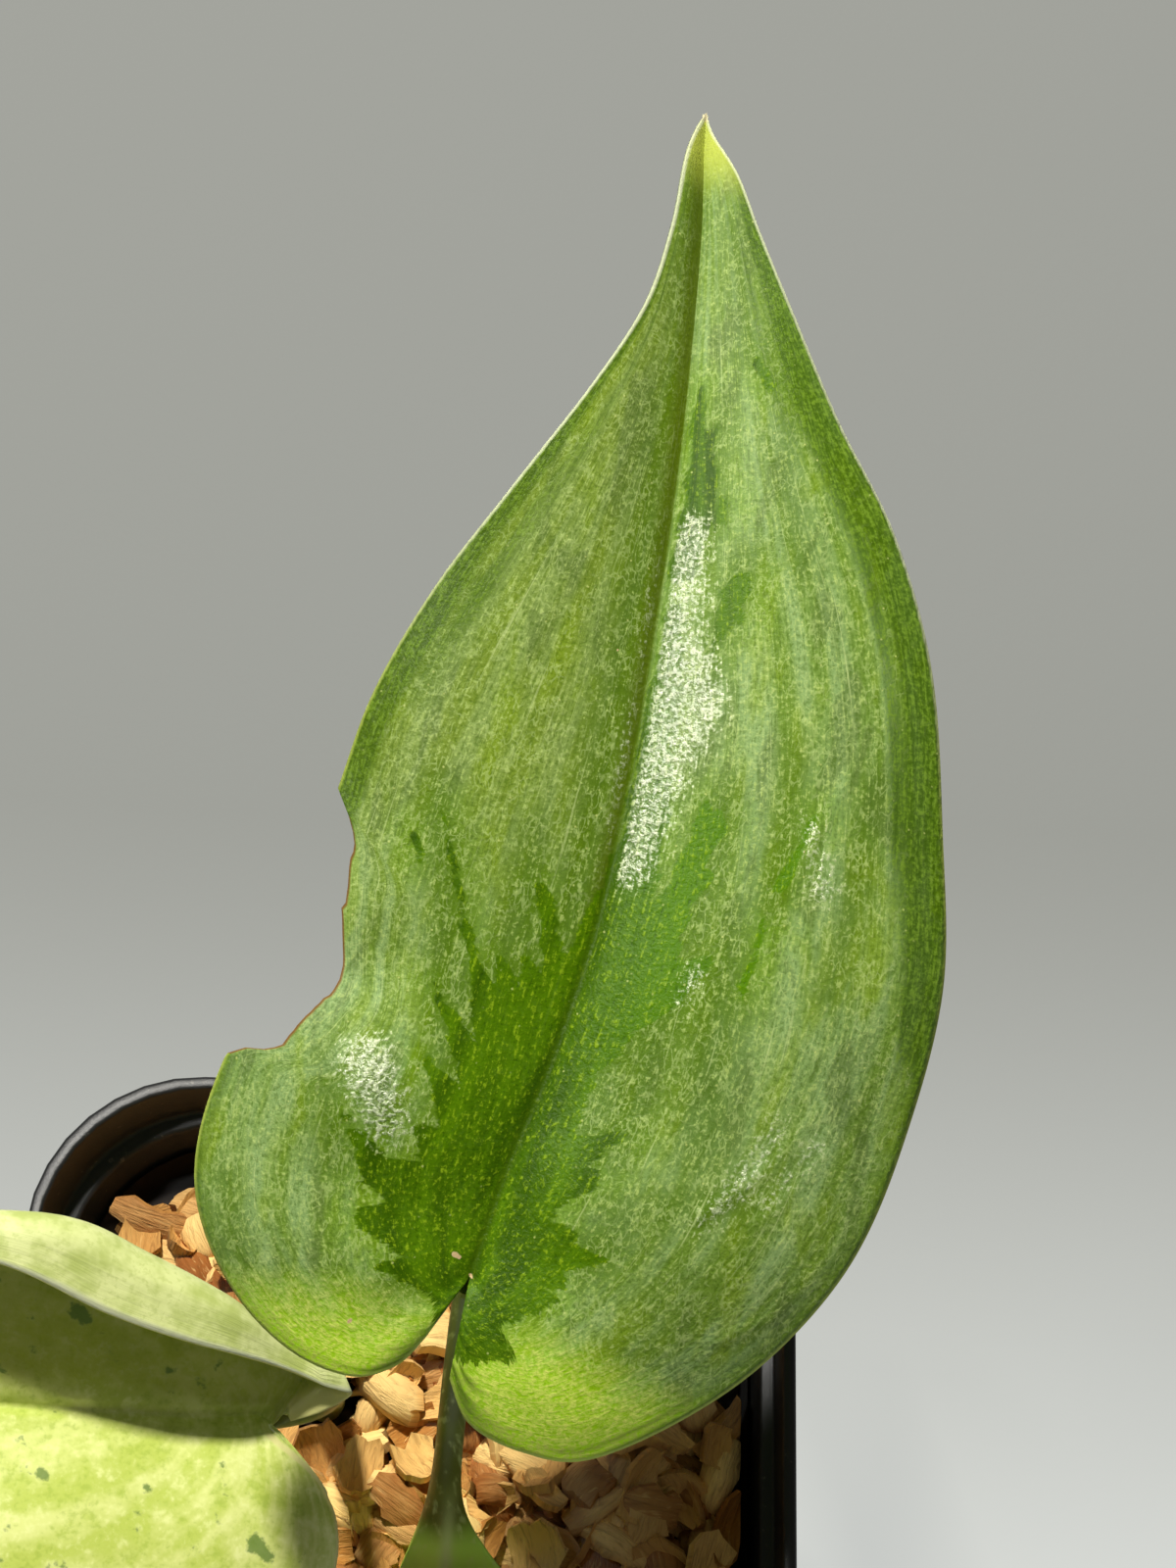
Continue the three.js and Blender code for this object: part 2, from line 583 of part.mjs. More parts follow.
// Upper face of the blade as one open sheet; the last vein is the tip
function bladeSheet(leaf, plainRows, steps) {
  leaf.ribCurve = tableCurve(leaf.veins, 'rib');
  leaf.marginCurve = { left: tableCurve(leaf.veins, 'left'), right: tableCurve(leaf.veins, 'right') };
  const points = [];
  const ribShare = [];
  const index = [];
  const margin = { left: [], right: [] };
  const corner = {};
  const shares = rowShares(leaf, plainRows);
  const rows = shares.length - 1;
  for (let i = 0; i <= rows; i += 1) {
    for (const side of ['left', 'right']) {
      const vein = veinOf(leaf, side, shares[i]);
      for (let j = 0; j <= steps; j += 1) {
        const shared = i === rows || (j === 0 && side === 'right');
        if (shared && !(i === rows && j === 0 && side === 'left')) {
          corner[`${side} ${i} ${j}`] = corner[`left ${i} 0`];
          continue;
        }
        corner[`${side} ${i} ${j}`] = points.length;
        points.push(bladePoint(leaf, side, vein, j / steps));
        ribShare.push(j === 0 ? 1 - shares[i] : 0);
      }
      margin[side].push(corner[`${side} ${i} ${steps}`]);
    }
  }
  const edge = [];
  for (let j = steps; j > 0; j -= 1) edge.push(corner[`left 0 ${j}`]);
  for (let j = 0; j < steps; j += 1) edge.push(corner[`right 0 ${j}`]);
  edge.push(...margin.right.slice(0, -1), ...margin.left.slice(1).reverse());
  for (let i = 0; i < rows; i += 1) {
    for (const side of ['left', 'right']) {
      for (let j = 0; j < steps; j += 1) {
        const places = [[i, j], [i, j + 1], [i + 1, j + 1], [i + 1, j]];
        const quad = places.map(([row, step]) => corner[`${side} ${row} ${step}`]);
        if (side === 'left') quad.reverse();
        for (const triangle of [[quad[0], quad[1], quad[2]], [quad[0], quad[2], quad[3]]]) {
          if (new Set(triangle).size === 3) index.push(...triangle);
        }
      }
    }
  }
  return { points, ribShare, index, edge };
}

// The sheet gets its thickness along its own normals, and the midrib stands out below it
function bladeSolid(leaf) {
  const sheet = bladeSheet(leaf, leaf.rows, leaf.steps);
  const face = new THREE.BufferGeometry().setFromPoints(sheet.points);
  face.setIndex(sheet.index);
  face.computeVertexNormals();
  const normals = face.attributes.normal;
  const count = sheet.points.length;
  const all = [];
  for (const lower of [0, 1]) {
    sheet.points.forEach((point, i) => {
      const normal = new THREE.Vector3().fromBufferAttribute(normals, i);
      const rib = RIB_DEPTH * Math.sqrt(sheet.ribShare[i]);
      const offset = lower ? -(BLADE_THICKNESS / 2 + rib) : BLADE_THICKNESS / 2;
      all.push(point.clone().addScaledVector(normal, offset));
    });
  }
  const index = [...sheet.index];
  for (let i = 0; i < sheet.index.length; i += 3) {
    index.push(sheet.index[i] + count, sheet.index[i + 2] + count, sheet.index[i + 1] + count);
  }
  sheet.edge.forEach((from, k) => {
    const to = sheet.edge[(k + 1) % sheet.edge.length];
    index.push(from, from + count, to + count, from, to + count, to);
  });
  const geometry = new THREE.BufferGeometry().setFromPoints(all);
  geometry.setIndex(index);
  return geometry;
}

// A stalk is cut back from the stem at its foot
function stalkGeometry(stalk) {
  return geometryOf(largest(stalk.subtract(stemSolid(CLEARANCE))));
}

const finish = (color, roughness) => new THREE.MeshStandardMaterial({ color, roughness, metalness: 0 });
const pieces = {
  pot: [potGeometry(), finish('#17181a', 0.5)],
  potting_mix: [mixGeometry(), finish('#a9703a', 0.9)],
  stem: [geometryOf(stemSolid(0)), finish('#7d8a4a', 0.7)],
  upper_petiole: [stalkGeometry(upperStalkSolid(0)), finish('#4f7a2c', 0.45)],
  upper_blade: [closed(bladeSolid(UPPER_LEAF)), finish('#6f9550', 0.35)],
  side_petiole: [stalkGeometry(sideStalkSolid(0)), finish('#6f7f3a', 0.45)],
  side_blade: [closed(bladeSolid(SIDE_LEAF)), finish('#cfe08a', 0.4)],
};

const plant = new THREE.Group();
for (const [name, [geometry, material]] of Object.entries(pieces)) {
  const mesh = new THREE.Mesh(geometry, material);
  mesh.name = name;
  plant.add(mesh);
}

export default plant;
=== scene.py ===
"""Looks of a potted Scindapsus treubii 'Super Star': a rooted cutting with two leaves in a square
nursery pot. Metres; lengths of the real pieces are written in millimetres and times MM."""

import math
import random

import bmesh
import bpy
import numpy as np
from mathutils import Matrix, Vector, kdtree, noise


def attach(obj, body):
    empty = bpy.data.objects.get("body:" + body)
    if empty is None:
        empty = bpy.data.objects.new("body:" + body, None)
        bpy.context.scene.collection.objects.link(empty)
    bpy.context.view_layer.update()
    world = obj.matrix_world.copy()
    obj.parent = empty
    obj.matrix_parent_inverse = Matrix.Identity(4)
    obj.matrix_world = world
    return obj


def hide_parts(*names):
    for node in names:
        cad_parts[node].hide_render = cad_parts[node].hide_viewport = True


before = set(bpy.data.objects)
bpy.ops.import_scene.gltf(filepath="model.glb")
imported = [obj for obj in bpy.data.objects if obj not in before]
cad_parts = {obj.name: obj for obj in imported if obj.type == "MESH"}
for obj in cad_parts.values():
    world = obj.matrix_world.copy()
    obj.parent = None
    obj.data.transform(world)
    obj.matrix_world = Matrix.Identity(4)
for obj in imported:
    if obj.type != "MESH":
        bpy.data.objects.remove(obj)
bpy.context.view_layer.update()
MM = 0.001

# Camera: held above and in front of the pot, looking steeply down on the upper leaf.
camera_data = bpy.data.cameras.new("camera")
camera_data.lens = 54.09
camera_data.sensor_width = 36
camera_data.clip_start = 0.01
camera = bpy.data.objects.new("camera", camera_data)
camera.location = (0.0238, -0.05542, 0.34682)
camera.rotation_euler = (math.radians(28), 0, math.radians(2.1))
bpy.context.scene.collection.objects.link(camera)
bpy.context.scene.camera = camera
bpy.context.scene.view_settings.view_transform = "Standard"


# Floor and light: a plain pale floor that glows with painted light, brighter towards the front, one small
# soft key lamp from the back, a lamp from the left that only the waxy skin mirrors, and a weak warm fill.
def srgb(red, green, blue):
    """A colour given as it looks on a screen, 0 to 255, as the shader's own linear colour."""
    shares = [value / 255 for value in (red, green, blue)]
    linear = [s / 12.92 if s < 0.04045 else ((s + 0.055) / 1.055) ** 2.4 for s in shares]
    return (*linear, 1.0)


class Skin:
    """A material in the making. Its methods add nodes and give an output, or set the Principled shader."""

    def __init__(self, name):
        self.material = bpy.data.materials.new(name)
        self.material.use_nodes = True
        self.tree = self.material.node_tree
        self.shader = self.tree.nodes["Principled BSDF"]

    def fill(self, socket, value):
        """Gives a socket another node's output, or a value."""
        if isinstance(value, bpy.types.NodeSocket):
            self.tree.links.new(value, socket)
        else:
            socket.default_value = value

    def add(self, kind, inputs=None, out=0, **settings):
        made = self.tree.nodes.new("ShaderNode" + kind)
        for name, value in settings.items():
            setattr(made, name, value)
        for socket, value in (inputs or {}).items():
            self.fill(made.inputs[socket], value)
        return made.outputs[out]

    def finish(self, **values):
        """Sets the shader's sockets, which are named here with _ for each space."""
        for name, value in values.items():
            self.fill(self.shader.inputs[name.replace("_", " ")], value)

    def place(self):
        return self.add("TexCoord", out="Object")

    def value(self, name):
        """What the mesh holds under a name at each vertex."""
        return self.add("Attribute", out="Fac", attribute_name=name)

    def product(self, first, second):
        return self.add("Math", {0: first, 1: second}, operation="MULTIPLY")

    def sum(self, first, second):
        return self.add("Math", {0: first, 1: second}, operation="ADD")

    def swing(self, pattern, size):
        """A pattern from 0 to 1 as a swing about 0."""
        return self.product(self.sum(pattern, -0.5), size)

    def mixture(self, first, second, first_share=0.5):
        return self.sum(self.product(first, first_share), self.product(second, 1 - first_share))

    def step(self, value, low, high, to_low=0.0, to_high=1.0):
        """Rises smoothly from to_low to to_high while value goes from low to high."""
        inputs = {"Value": value, "From Min": low, "From Max": high, "To Min": to_low, "To Max": to_high}
        return self.add("MapRange", inputs, "Result", interpolation_type="SMOOTHSTEP")

    def grain(self, place, scale, detail=2.0, roughness=0.5, distortion=0.0):
        inputs = {"Vector": place, "Scale": scale, "Detail": detail, "Roughness": roughness,
                  "Distortion": distortion}
        return self.add("TexNoise", inputs, "Fac")

    def blend(self, share, first, second):
        """The first colour where share is 0 and the second where it is 1."""
        return self.add("Mix", {0: share, 6: first, 7: second}, 2, data_type="RGBA")

    def paint(self, colour, *coats):
        """Lays coats over a colour, one after another. A coat is (where it lies, its colour)."""
        for share, coat in coats:
            colour = self.blend(share, colour, coat)
        return colour

    def relief(self, height, distance, strength=0.5, below=None):
        """Raises the shader's surface by height times distance, in metres."""
        inputs = {"Height": height, "Distance": distance, "Strength": strength}
        if below is not None:
            inputs["Normal"] = below
        normal = self.add("Bump", inputs)
        self.finish(Normal=normal)
        return normal


def finished(name, mesh, material, body="root"):
    """Makes a bmesh into a piece that rides on a body."""
    data = bpy.data.meshes.new(name)
    for face in mesh.faces:
        face.smooth = True
    mesh.to_mesh(data)
    mesh.free()
    data.materials.append(material)
    piece = bpy.data.objects.new(name, data)
    bpy.context.scene.collection.objects.link(piece)
    if body:
        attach(piece, body)
    return piece


floor_mesh = bmesh.new()
bmesh.ops.create_grid(floor_mesh, x_segments=1, y_segments=1, size=3.0)
skin = Skin("pale_floor")
place = skin.place()
cloudy = skin.grain(place, 2.0, 1.0)
# painted light: the floor glows, brighter towards the front, so that shadows on it stay faint
nearness = skin.step(skin.add("SeparateXYZ", {"Vector": place}, "Y"), 0.14, -0.06)
painted_floor_light = skin.blend(skin.sum(nearness, skin.swing(cloudy, 0.2)), srgb(124, 126, 122), srgb(214, 217, 214))
skin.finish(Base_Color=skin.blend(cloudy, srgb(80, 81, 79), srgb(86, 87, 85)), Roughness=0.9,
            Emission_Color=painted_floor_light, Emission_Strength=1.0)
skin.relief(skin.grain(place, 400.0), 0.0002, 0.3)
floor_piece = finished("floor", floor_mesh, skin.material, body=None)


PLANT_MIDDLE = Vector((0.01, 0.03, 0.12))


def add_lamp(name, direction, distance, size, watts, colour, sheen_only=False):
    """A square soft lamp in a direction (azimuth from +X, elevation, in degrees), turned to the plant."""
    azimuth, elevation = (math.radians(angle) for angle in direction)
    flat = math.cos(elevation)
    out = Vector((flat * math.cos(azimuth), flat * math.sin(azimuth), math.sin(elevation)))
    lamp = bpy.data.lights.new(name, "AREA")
    lamp.size = size
    lamp.energy = watts
    lamp.color = colour
    holder = bpy.data.objects.new(name, lamp)
    holder.location = PLANT_MIDDLE + out * distance
    holder.rotation_euler = out.to_track_quat("Z", "Y").to_euler()
    holder.visible_diffuse = not sheen_only
    bpy.context.scene.collection.objects.link(holder)


add_lamp("key_lamp", (106, 61), 1.1, 0.09, 18.0, (1.0, 0.97, 0.88))
add_lamp("sheen_lamp", (166, 60), 1.1, 0.08, 12.0, (1.0, 0.98, 0.94), sheen_only=True)
add_lamp("fill_lamp", (-40, 50), 1.4, 1.0, 0.6, (1.0, 0.96, 0.86))
world = bpy.data.worlds.new("soft_room")
bpy.context.scene.world = world
world.use_nodes = True
world.node_tree.nodes["Background"].inputs["Color"].default_value = (1.0, 0.97, 0.86, 1)
world.node_tree.nodes["Background"].inputs["Strength"].default_value = 0.085


# Pot: a square nursery pot with round corners, injection moulded in black polypropylene in one shot.
# Its collar round the rim stands out from the wall, and its floor has a foot ring, a pad and drain holes.
POT_CORNER_SHARE = 0.42
CORNER_STEPS = 8
FLAT_CUTS = 13
UNIT = 10.0
DRAIN_HOLES = 8
DRAIN_HOLE_RADIUS = 3.2
DRAIN_HOLE_CIRCLE = 21.0
FLOOR_UNDER = 2.5
FLOOR_TOP = 3.7
# The pot's section from the middle of its underside, over the rim, to the middle of its floor:
# [half-width, height]
POT_UNDERSIDE = [(2, 0), (6, 0), (10.7, 0), (11, 0.15), (11.8, 2.3), (12.1, FLOOR_UNDER)]
POT_UNDERSIDE += [(half, FLOOR_UNDER) for half in np.arange(13.5, 28.5, 1.3)]
POT_WALL = [
    (28.7, 2.4), (29.2, 0.2), (29.5, 0), (31.0, 0), (31.7, 0.2), (32.0, 0.8), (32.3, 2.5), (41.5, 67.0),
    (41.95, 71.0), (42.2, 71.35), (44.1, 71.4), (44.45, 71.5), (44.55, 71.9), (44.6, 73.0), (44.95, 79.3),
    (44.85, 79.8), (44.5, 80), (43.8, 80), (43.5, 79.9), (43.4, 79.5), (43.0, 73.8), (42.9, 73.3),
    (42.6, 73.2), (41.6, 73.1), (41.3, 72.9), (41.2, 72.3), (40.4, 67.0), (30.9, 5.2), (30.6, 4.3),
    (29.8, 3.8),
]
POT_FLOOR = [(half, FLOOR_TOP) for half in np.arange(29.0, 2.0, -1.3)]


def squared_ring(mesh):
    """A square with round corners and half-width UNIT, as a closed line of edges in the plane z = 0."""
    made = bmesh.ops.create_circle(mesh, cap_ends=True, segments=4, radius=UNIT * math.sqrt(2) * MM)
    bmesh.ops.rotate(mesh, verts=made["verts"], cent=(0, 0, 0), matrix=Matrix.Rotation(math.pi / 4, 3, "Z"))
    bmesh.ops.bevel(mesh, geom=made["verts"], offset=POT_CORNER_SHARE * UNIT * MM, offset_type="OFFSET",
                    segments=CORNER_STEPS, profile=0.5, affect="VERTICES", material=-1)
    bmesh.ops.delete(mesh, geom=list(mesh.faces), context="FACES_ONLY")
    longest = [edge for edge in mesh.edges if edge.calc_length() > 0.5 * UNIT * MM]
    bmesh.ops.subdivide_edges(mesh, edges=longest, cuts=FLAT_CUTS)
    return list(mesh.edges)


def draw_rings(mesh, edges, profile):
    """Extrudes a ring from one place of the profile to the next, scaled to each half-width."""
    for (half, height), (next_half, next_height) in zip(profile, profile[1:]):
        made = bmesh.ops.extrude_edge_only(mesh, edges=edges)["geom"]
        edges = [part for part in made if isinstance(part, bmesh.types.BMEdge)]
        ring = [part for part in made if isinstance(part, bmesh.types.BMVert)]
        size = next_half / half
        bmesh.ops.scale(mesh, vec=(size, size, 1), verts=ring)
        bmesh.ops.translate(mesh, vec=(0, 0, (next_height - height) * MM), verts=ring)
    return edges


def squared_shell(profile):
    """A closed shell of squared rings, with its two ends filled."""
    mesh = bmesh.new()
    first = squared_ring(mesh)
    bmesh.ops.scale(mesh, vec=(profile[0][0] / UNIT,) * 2 + (1,), verts=list(mesh.verts))
    bmesh.ops.translate(mesh, vec=(0, 0, profile[0][1] * MM), verts=list(mesh.verts))
    last = draw_rings(mesh, first, profile)
    bmesh.ops.edgeloop_fill(mesh, edges=first)
    bmesh.ops.edgeloop_fill(mesh, edges=last)
    return mesh


def open_hole(mesh, centre, height):
    """Takes the faces round a point of the floor out, and draws the edge of the gap into a circle."""
    middle = Vector((centre.x, centre.y, height * MM))
    radius = DRAIN_HOLE_RADIUS * MM

    def is_near(point, reach):
        return abs(point.z - middle.z) < 0.1 * MM and (point - middle).length < reach

    inside = [face for face in mesh.faces if is_near(face.calc_center_median(), radius)]
    bmesh.ops.delete(mesh, geom=inside, context="FACES")
    rim = [edge for edge in mesh.edges if edge.is_boundary and is_near(edge.verts[0].co, 1.8 * radius)]
    for vertex in {v for edge in rim for v in edge.verts}:
        vertex.co = middle + (vertex.co - middle).normalized() * radius
    return rim


pot_mesh = squared_shell(POT_UNDERSIDE + POT_WALL + POT_FLOOR)
for hole in range(DRAIN_HOLES):
    turn = hole * 2 * math.pi / DRAIN_HOLES
    centre = Vector((math.cos(turn), math.sin(turn))) * DRAIN_HOLE_CIRCLE * MM
    rims = open_hole(pot_mesh, centre, FLOOR_UNDER) + open_hole(pot_mesh, centre, FLOOR_TOP)
    bmesh.ops.bridge_loops(pot_mesh, edges=rims)
bmesh.ops.recalc_face_normals(pot_mesh, faces=list(pot_mesh.faces))

skin = Skin("black_polypropylene")
place = skin.place()
cloudy = skin.grain(place, 60.0, 4.0)
dust = skin.step(skin.grain(place, 900.0, 3.0), 0.66, 0.74)
plastic = skin.blend(cloudy, srgb(17, 18, 20), srgb(33, 34, 37))
plastic = skin.blend(skin.product(dust, 0.35), plastic, srgb(120, 112, 100))
skin.finish(Base_Color=plastic, Roughness=skin.step(cloudy, 0.3, 0.7, 0.42, 0.62))
fine = skin.relief(skin.grain(place, 2500.0), 0.00006, 0.5)
skin.relief(skin.grain(place, 90.0, 1.0), 0.0004, 0.25, fine)
pot = finished("pot_shell", pot_mesh, skin.material)
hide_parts("pot")


# Potting mix: dry coconut husk and bark, chopped into curled chips about a centimetre long. It fills
# the pot to just under the ledge of the collar, and its chips lie crossed with dark gaps between them.
CHIP_SEED = 21
BED_TOP = 68.6
# the bed under the chips takes the darkest colour: painted shade in the gaps between the chips
BED_SHADE_TONE = -3.0
CHIP_LAYERS = 3
CHIP_PITCH = 4.3
LAYER_RISE = 2.2
CHIP_FIELD = 37.5
# The pot's inside is a square of this half-width, rounded by this radius
WALL_CORE = 23.0
WALL_REACH = 16.2
STALK_FEET = [Vector((5.2, -11.2)), Vector((-9.6, 9.9))]
STALK_ROOM = 5
BED_PROFILE = [(2, 4.1), (28.6, 4.1), (30.2, 5.6), (40.0, 67.0), (40.1, 68.4)]
BED_PROFILE += [(40.1 * share, BED_TOP) for share in np.linspace(0.98, 0.03, 30)]


def bed_height(x, y):
    """Height of the bed's top, in millimetres."""
    broad = math.sin(0.31 * x + 1) * math.cos(0.27 * y)
    small = 0.6 * math.sin(0.53 * y - 0.4 * x)
    return 69 + 0.8 * (broad + small)


mix_mesh = squared_shell(BED_PROFILE)
bmesh.ops.recalc_face_normals(mix_mesh, faces=list(mix_mesh.faces))
for vertex in mix_mesh.verts:
    x, y, z = vertex.co / MM
    if z > BED_TOP - 0.1:
        vertex.co.z = (bed_height(x, y) - 4.0 + 2.4 * noise.noise(Vector((x, y, 0)) * 0.5)) * MM
tone_layer, skin_layer, length_layer, width_layer = (
    mix_mesh.verts.layers.float.new(name) for name in ("tone", "skin", "chip_x", "chip_y"))
for vertex in mix_mesh.verts:
    vertex[tone_layer] = BED_SHADE_TONE


def kept_inside(place):
    """Draws a place back inside the pot's round-cornered wall."""
    flat = place.xy / MM
    core = Vector([math.copysign(min(abs(value), WALL_CORE), value) for value in flat])
    out = flat - core
    if out.length > WALL_REACH:
        flat = core + out.normalized() * WALL_REACH
    return Vector((flat.x * MM, flat.y * MM, place.z))


def add_chip(mesh, draw, middle, length, width, thickness, tilt, tone):
    """A curled chip: a grid of 5 by 3 faces, bent, with ragged edges, given its thickness."""
    made = bmesh.ops.create_grid(mesh, x_segments=5, y_segments=3, size=0.5)["verts"]
    curl = length * draw.uniform(0.36, 1.0)
    twist = draw.uniform(-0.8, 0.8)
    bowl = draw.uniform(1.0, 5.0)
    for vertex in made:
        x = vertex.co.x * length
        y = vertex.co.y * width * (1 - 0.5 * abs(2 * vertex.co.x) ** 2.5)
        ragged = 0.12 * width
        x += draw.uniform(-ragged, ragged)
        y += draw.uniform(-ragged, ragged)
        vertex[length_layer], vertex[width_layer] = x, y
        bend = x / curl
        cup = bowl * (y / width) ** 2 * thickness
        height = curl * (1 - math.cos(bend)) + cup + 0.3 * twist * x * y / width
        vertex.co = Vector((curl * math.sin(bend), y, height)) * MM
    faces = list({face for vertex in made for face in vertex.link_faces})
    below = bmesh.ops.solidify(mesh, geom=faces, thickness=thickness * MM)["geom"]
    below = [part for part in below if isinstance(part, bmesh.types.BMVert)]
    chip = list({vertex for face in faces for vertex in face.verts} | set(below))
    top_side = {vertex for face in faces for vertex in face.verts}
    for vertex in chip:
        vertex[tone_layer] = tone
        vertex[skin_layer] = 1.0 if vertex in top_side else 0.0
    turn = Matrix.Rotation(draw.uniform(0, 2 * math.pi), 3, "Z")
    lean = Matrix.Rotation(tilt[0], 3, "X") @ Matrix.Rotation(tilt[1], 3, "Y")
    bmesh.ops.rotate(mesh, verts=chip, cent=(0, 0, 0), matrix=turn @ lean)
    bmesh.ops.translate(mesh, vec=middle * MM, verts=chip)
    for vertex in chip:
        vertex.co = kept_inside(vertex.co)
    return chip


draw = random.Random(CHIP_SEED)
chip_places = []
for layer in range(CHIP_LAYERS):
    for row in np.arange(-CHIP_FIELD, CHIP_FIELD + 0.5, CHIP_PITCH):
        for column in np.arange(-CHIP_FIELD, CHIP_FIELD + 0.5, CHIP_PITCH):
            chip_places.append((row + draw.uniform(-2.4, 2.4), column + draw.uniform(-2.4, 2.4), layer))
draw.shuffle(chip_places)
for x, y, layer in chip_places:
    length, width = draw.uniform(5.5, 11.5), draw.uniform(3, 6.5)
    tilt = (draw.uniform(-0.55, 0.55) + (math.pi if draw.random() < 0.6 else 0), draw.uniform(-0.5, 0.5))
    tone = draw.uniform(-1, 1)
    lift = draw.uniform(LAYER_RISE * layer - 3.4, LAYER_RISE * layer - 1.6)
    inside = 42.5 - length * 0.45
    x, y = max(-inside, min(inside, x)), max(-inside, min(inside, y))
    if abs(x) + abs(y) > 1.24 * inside:
        x, y = x * 0.85, y * 0.85
    to_stalk = min((Vector((x, y)) - foot).length for foot in STALK_FEET)
    if to_stalk < STALK_ROOM or (layer == CHIP_LAYERS - 1 and draw.random() < 0.35):
        continue
    middle = Vector((x, y, bed_height(x, y) + lift))
    add_chip(mix_mesh, draw, middle, length, width, draw.uniform(0.9, 1.9), tilt, tone)
for edge in mix_mesh.edges:
    edge.smooth = edge.calc_face_angle(0) < 1.0

skin = Skin("husk_and_bark")
tone = skin.value("tone")
chip_place = skin.add("CombineXYZ", {"X": skin.product(skin.value("chip_x"), 0.16), "Y": skin.value("chip_y"),
                                     "Z": skin.product(tone, 9.0)})
fibre = skin.grain(chip_place, 1.5, 4.0, 0.6, 1.2)
patches = skin.grain(skin.place(), 160.0, 3.0)
lightness = skin.step(skin.sum(tone, skin.product(patches, 1.4)), -0.6, 1.8)
bark = skin.paint(
    skin.blend(lightness, srgb(150, 84, 24), srgb(255, 216, 140)),
    (skin.product(skin.value("skin"), 0.4), srgb(206, 146, 62)),
    (skin.step(fibre, 0.48, 0.72, 0.0, 0.5), srgb(118, 68, 20)),
    (skin.step(fibre, 0.42, 0.28, 0.0, 0.4), srgb(246, 208, 140)),
    # painted shade: the bed seen between the chips, near black
    (skin.step(tone, -1.5, -2.5), srgb(24, 15, 6)),
)
skin.finish(Base_Color=bark, Roughness=0.8, Specular_IOR_Level=0.25)
skin.relief(fibre, 0.0006, 0.8, skin.relief(patches, 0.0009, 0.5))
mix = finished("husk_chips", mix_mesh, skin.material)
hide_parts("potting_mix")


# Stem and roots: the cutting's green-brown stem lies just under the chips with its roots grown from it.
# One living piece; its shape is the solid's own.
skin = Skin("stem_skin")
place = skin.place()
rings = skin.grain(place, 220.0, 3.0)
rooty = skin.step(skin.add("SeparateXYZ", {"Vector": place}, "Z"), 0.057, 0.05)
green_brown = skin.blend(rings, srgb(96, 104, 44), srgb(142, 128, 74))
skin.finish(Base_Color=skin.blend(rooty, green_brown, srgb(206, 188, 150)), Roughness=0.6)
skin.relief(rings, 0.0004, 0.5)
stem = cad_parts["stem"]
stem.data.materials.clear()
stem.data.materials.append(skin.material)


# Upper leaf stalk: a round waxy green stalk that grows out of the buried stem and opens below into a
# gutter with two thin wings, the right one wider. Its top ends just under the blade's midrib.
BLADE_THICKNESS = 0.9
RIB_DEPTH = 1.3
STALK_GAP = 0.3
STALK_RADIUS = 1.35
STALK_FOOT_RADIUS = 2.3
SHEATH_TOP = 0.68
SHEATH_LEFT_WING = 5.6
SHEATH_RIGHT_WING = 14


class Leaf:
    """Axes, vein table and sections of one leaf, in millimetres, as its solid has them."""

    def __init__(self, notch, along, across):
        self.notch = Vector(notch)
        self.across = Vector(across).normalized()
        self.up = self.across.cross(Vector(along)).normalized()
        self.along = self.up.cross(self.across)
        self.stalk_end = self.notch - self.up * (BLADE_THICKNESS / 2 + RIB_DEPTH + STALK_GAP)


upper_leaf = Leaf(notch=(11.2, 3.4, 142.7), along=(0.16, 0.94, 0.3), across=(0.99, -0.14, -0.09))
side_leaf = Leaf(notch=(-10.5, -1.4, 107.8), along=(-0.935, -0.1, 0.34), across=(-0.054, 0.988, 0.142))


def smooth_step(x):
    share = min(max(x, 0.0), 1.0)
    return share * share * (3 - 2 * share)


def mix_values(low, high, share):
    return low + (high - low) * share


def line_point(line, u):
    """Point and direction of a cubic curve with four handles."""
    a, b, c, d = line
    v = 1 - u
    point = a * v ** 3 + b * 3 * u * v * v + c * 3 * u * u * v + d * u ** 3
    heading = (b - a) * v * v + (c - b) * 2 * u * v + (d - c) * u * u
    return point, heading.normalized()


def round_rod(sides, cuts):
    """A straight capped rod of radius 1 and length 1, cut into rings."""
    mesh = bmesh.new()
    bmesh.ops.create_cone(mesh, cap_ends=True, segments=sides, radius1=1, radius2=1, depth=1)
    upright = [edge for edge in mesh.edges if abs(edge.verts[0].co.z - edge.verts[1].co.z) > 0.5]
    bmesh.ops.subdivide_edges(mesh, edges=upright, cuts=cuts)
    return mesh


def sheath_section(u, angle):
    """Point (to the right, to the front) of the stalk's section, at an angle from its right wing."""
    sheath = smooth_step((SHEATH_TOP - u) / SHEATH_TOP * 1.15)
    radius = mix_values(STALK_FOOT_RADIUS, STALK_RADIUS, smooth_step(u * 1.4))
    on_right = math.cos(angle) > 0
    wing_reach = SHEATH_RIGHT_WING if on_right else SHEATH_LEFT_WING
    half = mix_values(radius, wing_reach, sheath ** 1.8 if on_right else sheath)
    x = half * math.cos(angle)
    share = abs(x / half)
    wing_rise = 0.5 * sheath * share ** 2 * half
    thin = mix_values(0.55, 0.3, share)
    thickness = thin + (radius - thin) * (1 - share) ** 1.5
    around = math.copysign(abs(math.sin(angle)) ** 0.6, math.sin(angle))
    wing = (x, wing_rise + thickness * around)
    rounded = (radius * math.cos(angle), radius * math.sin(angle))
    return [mix_values(rounded[k], wing[k], sheath) for k in range(2)]


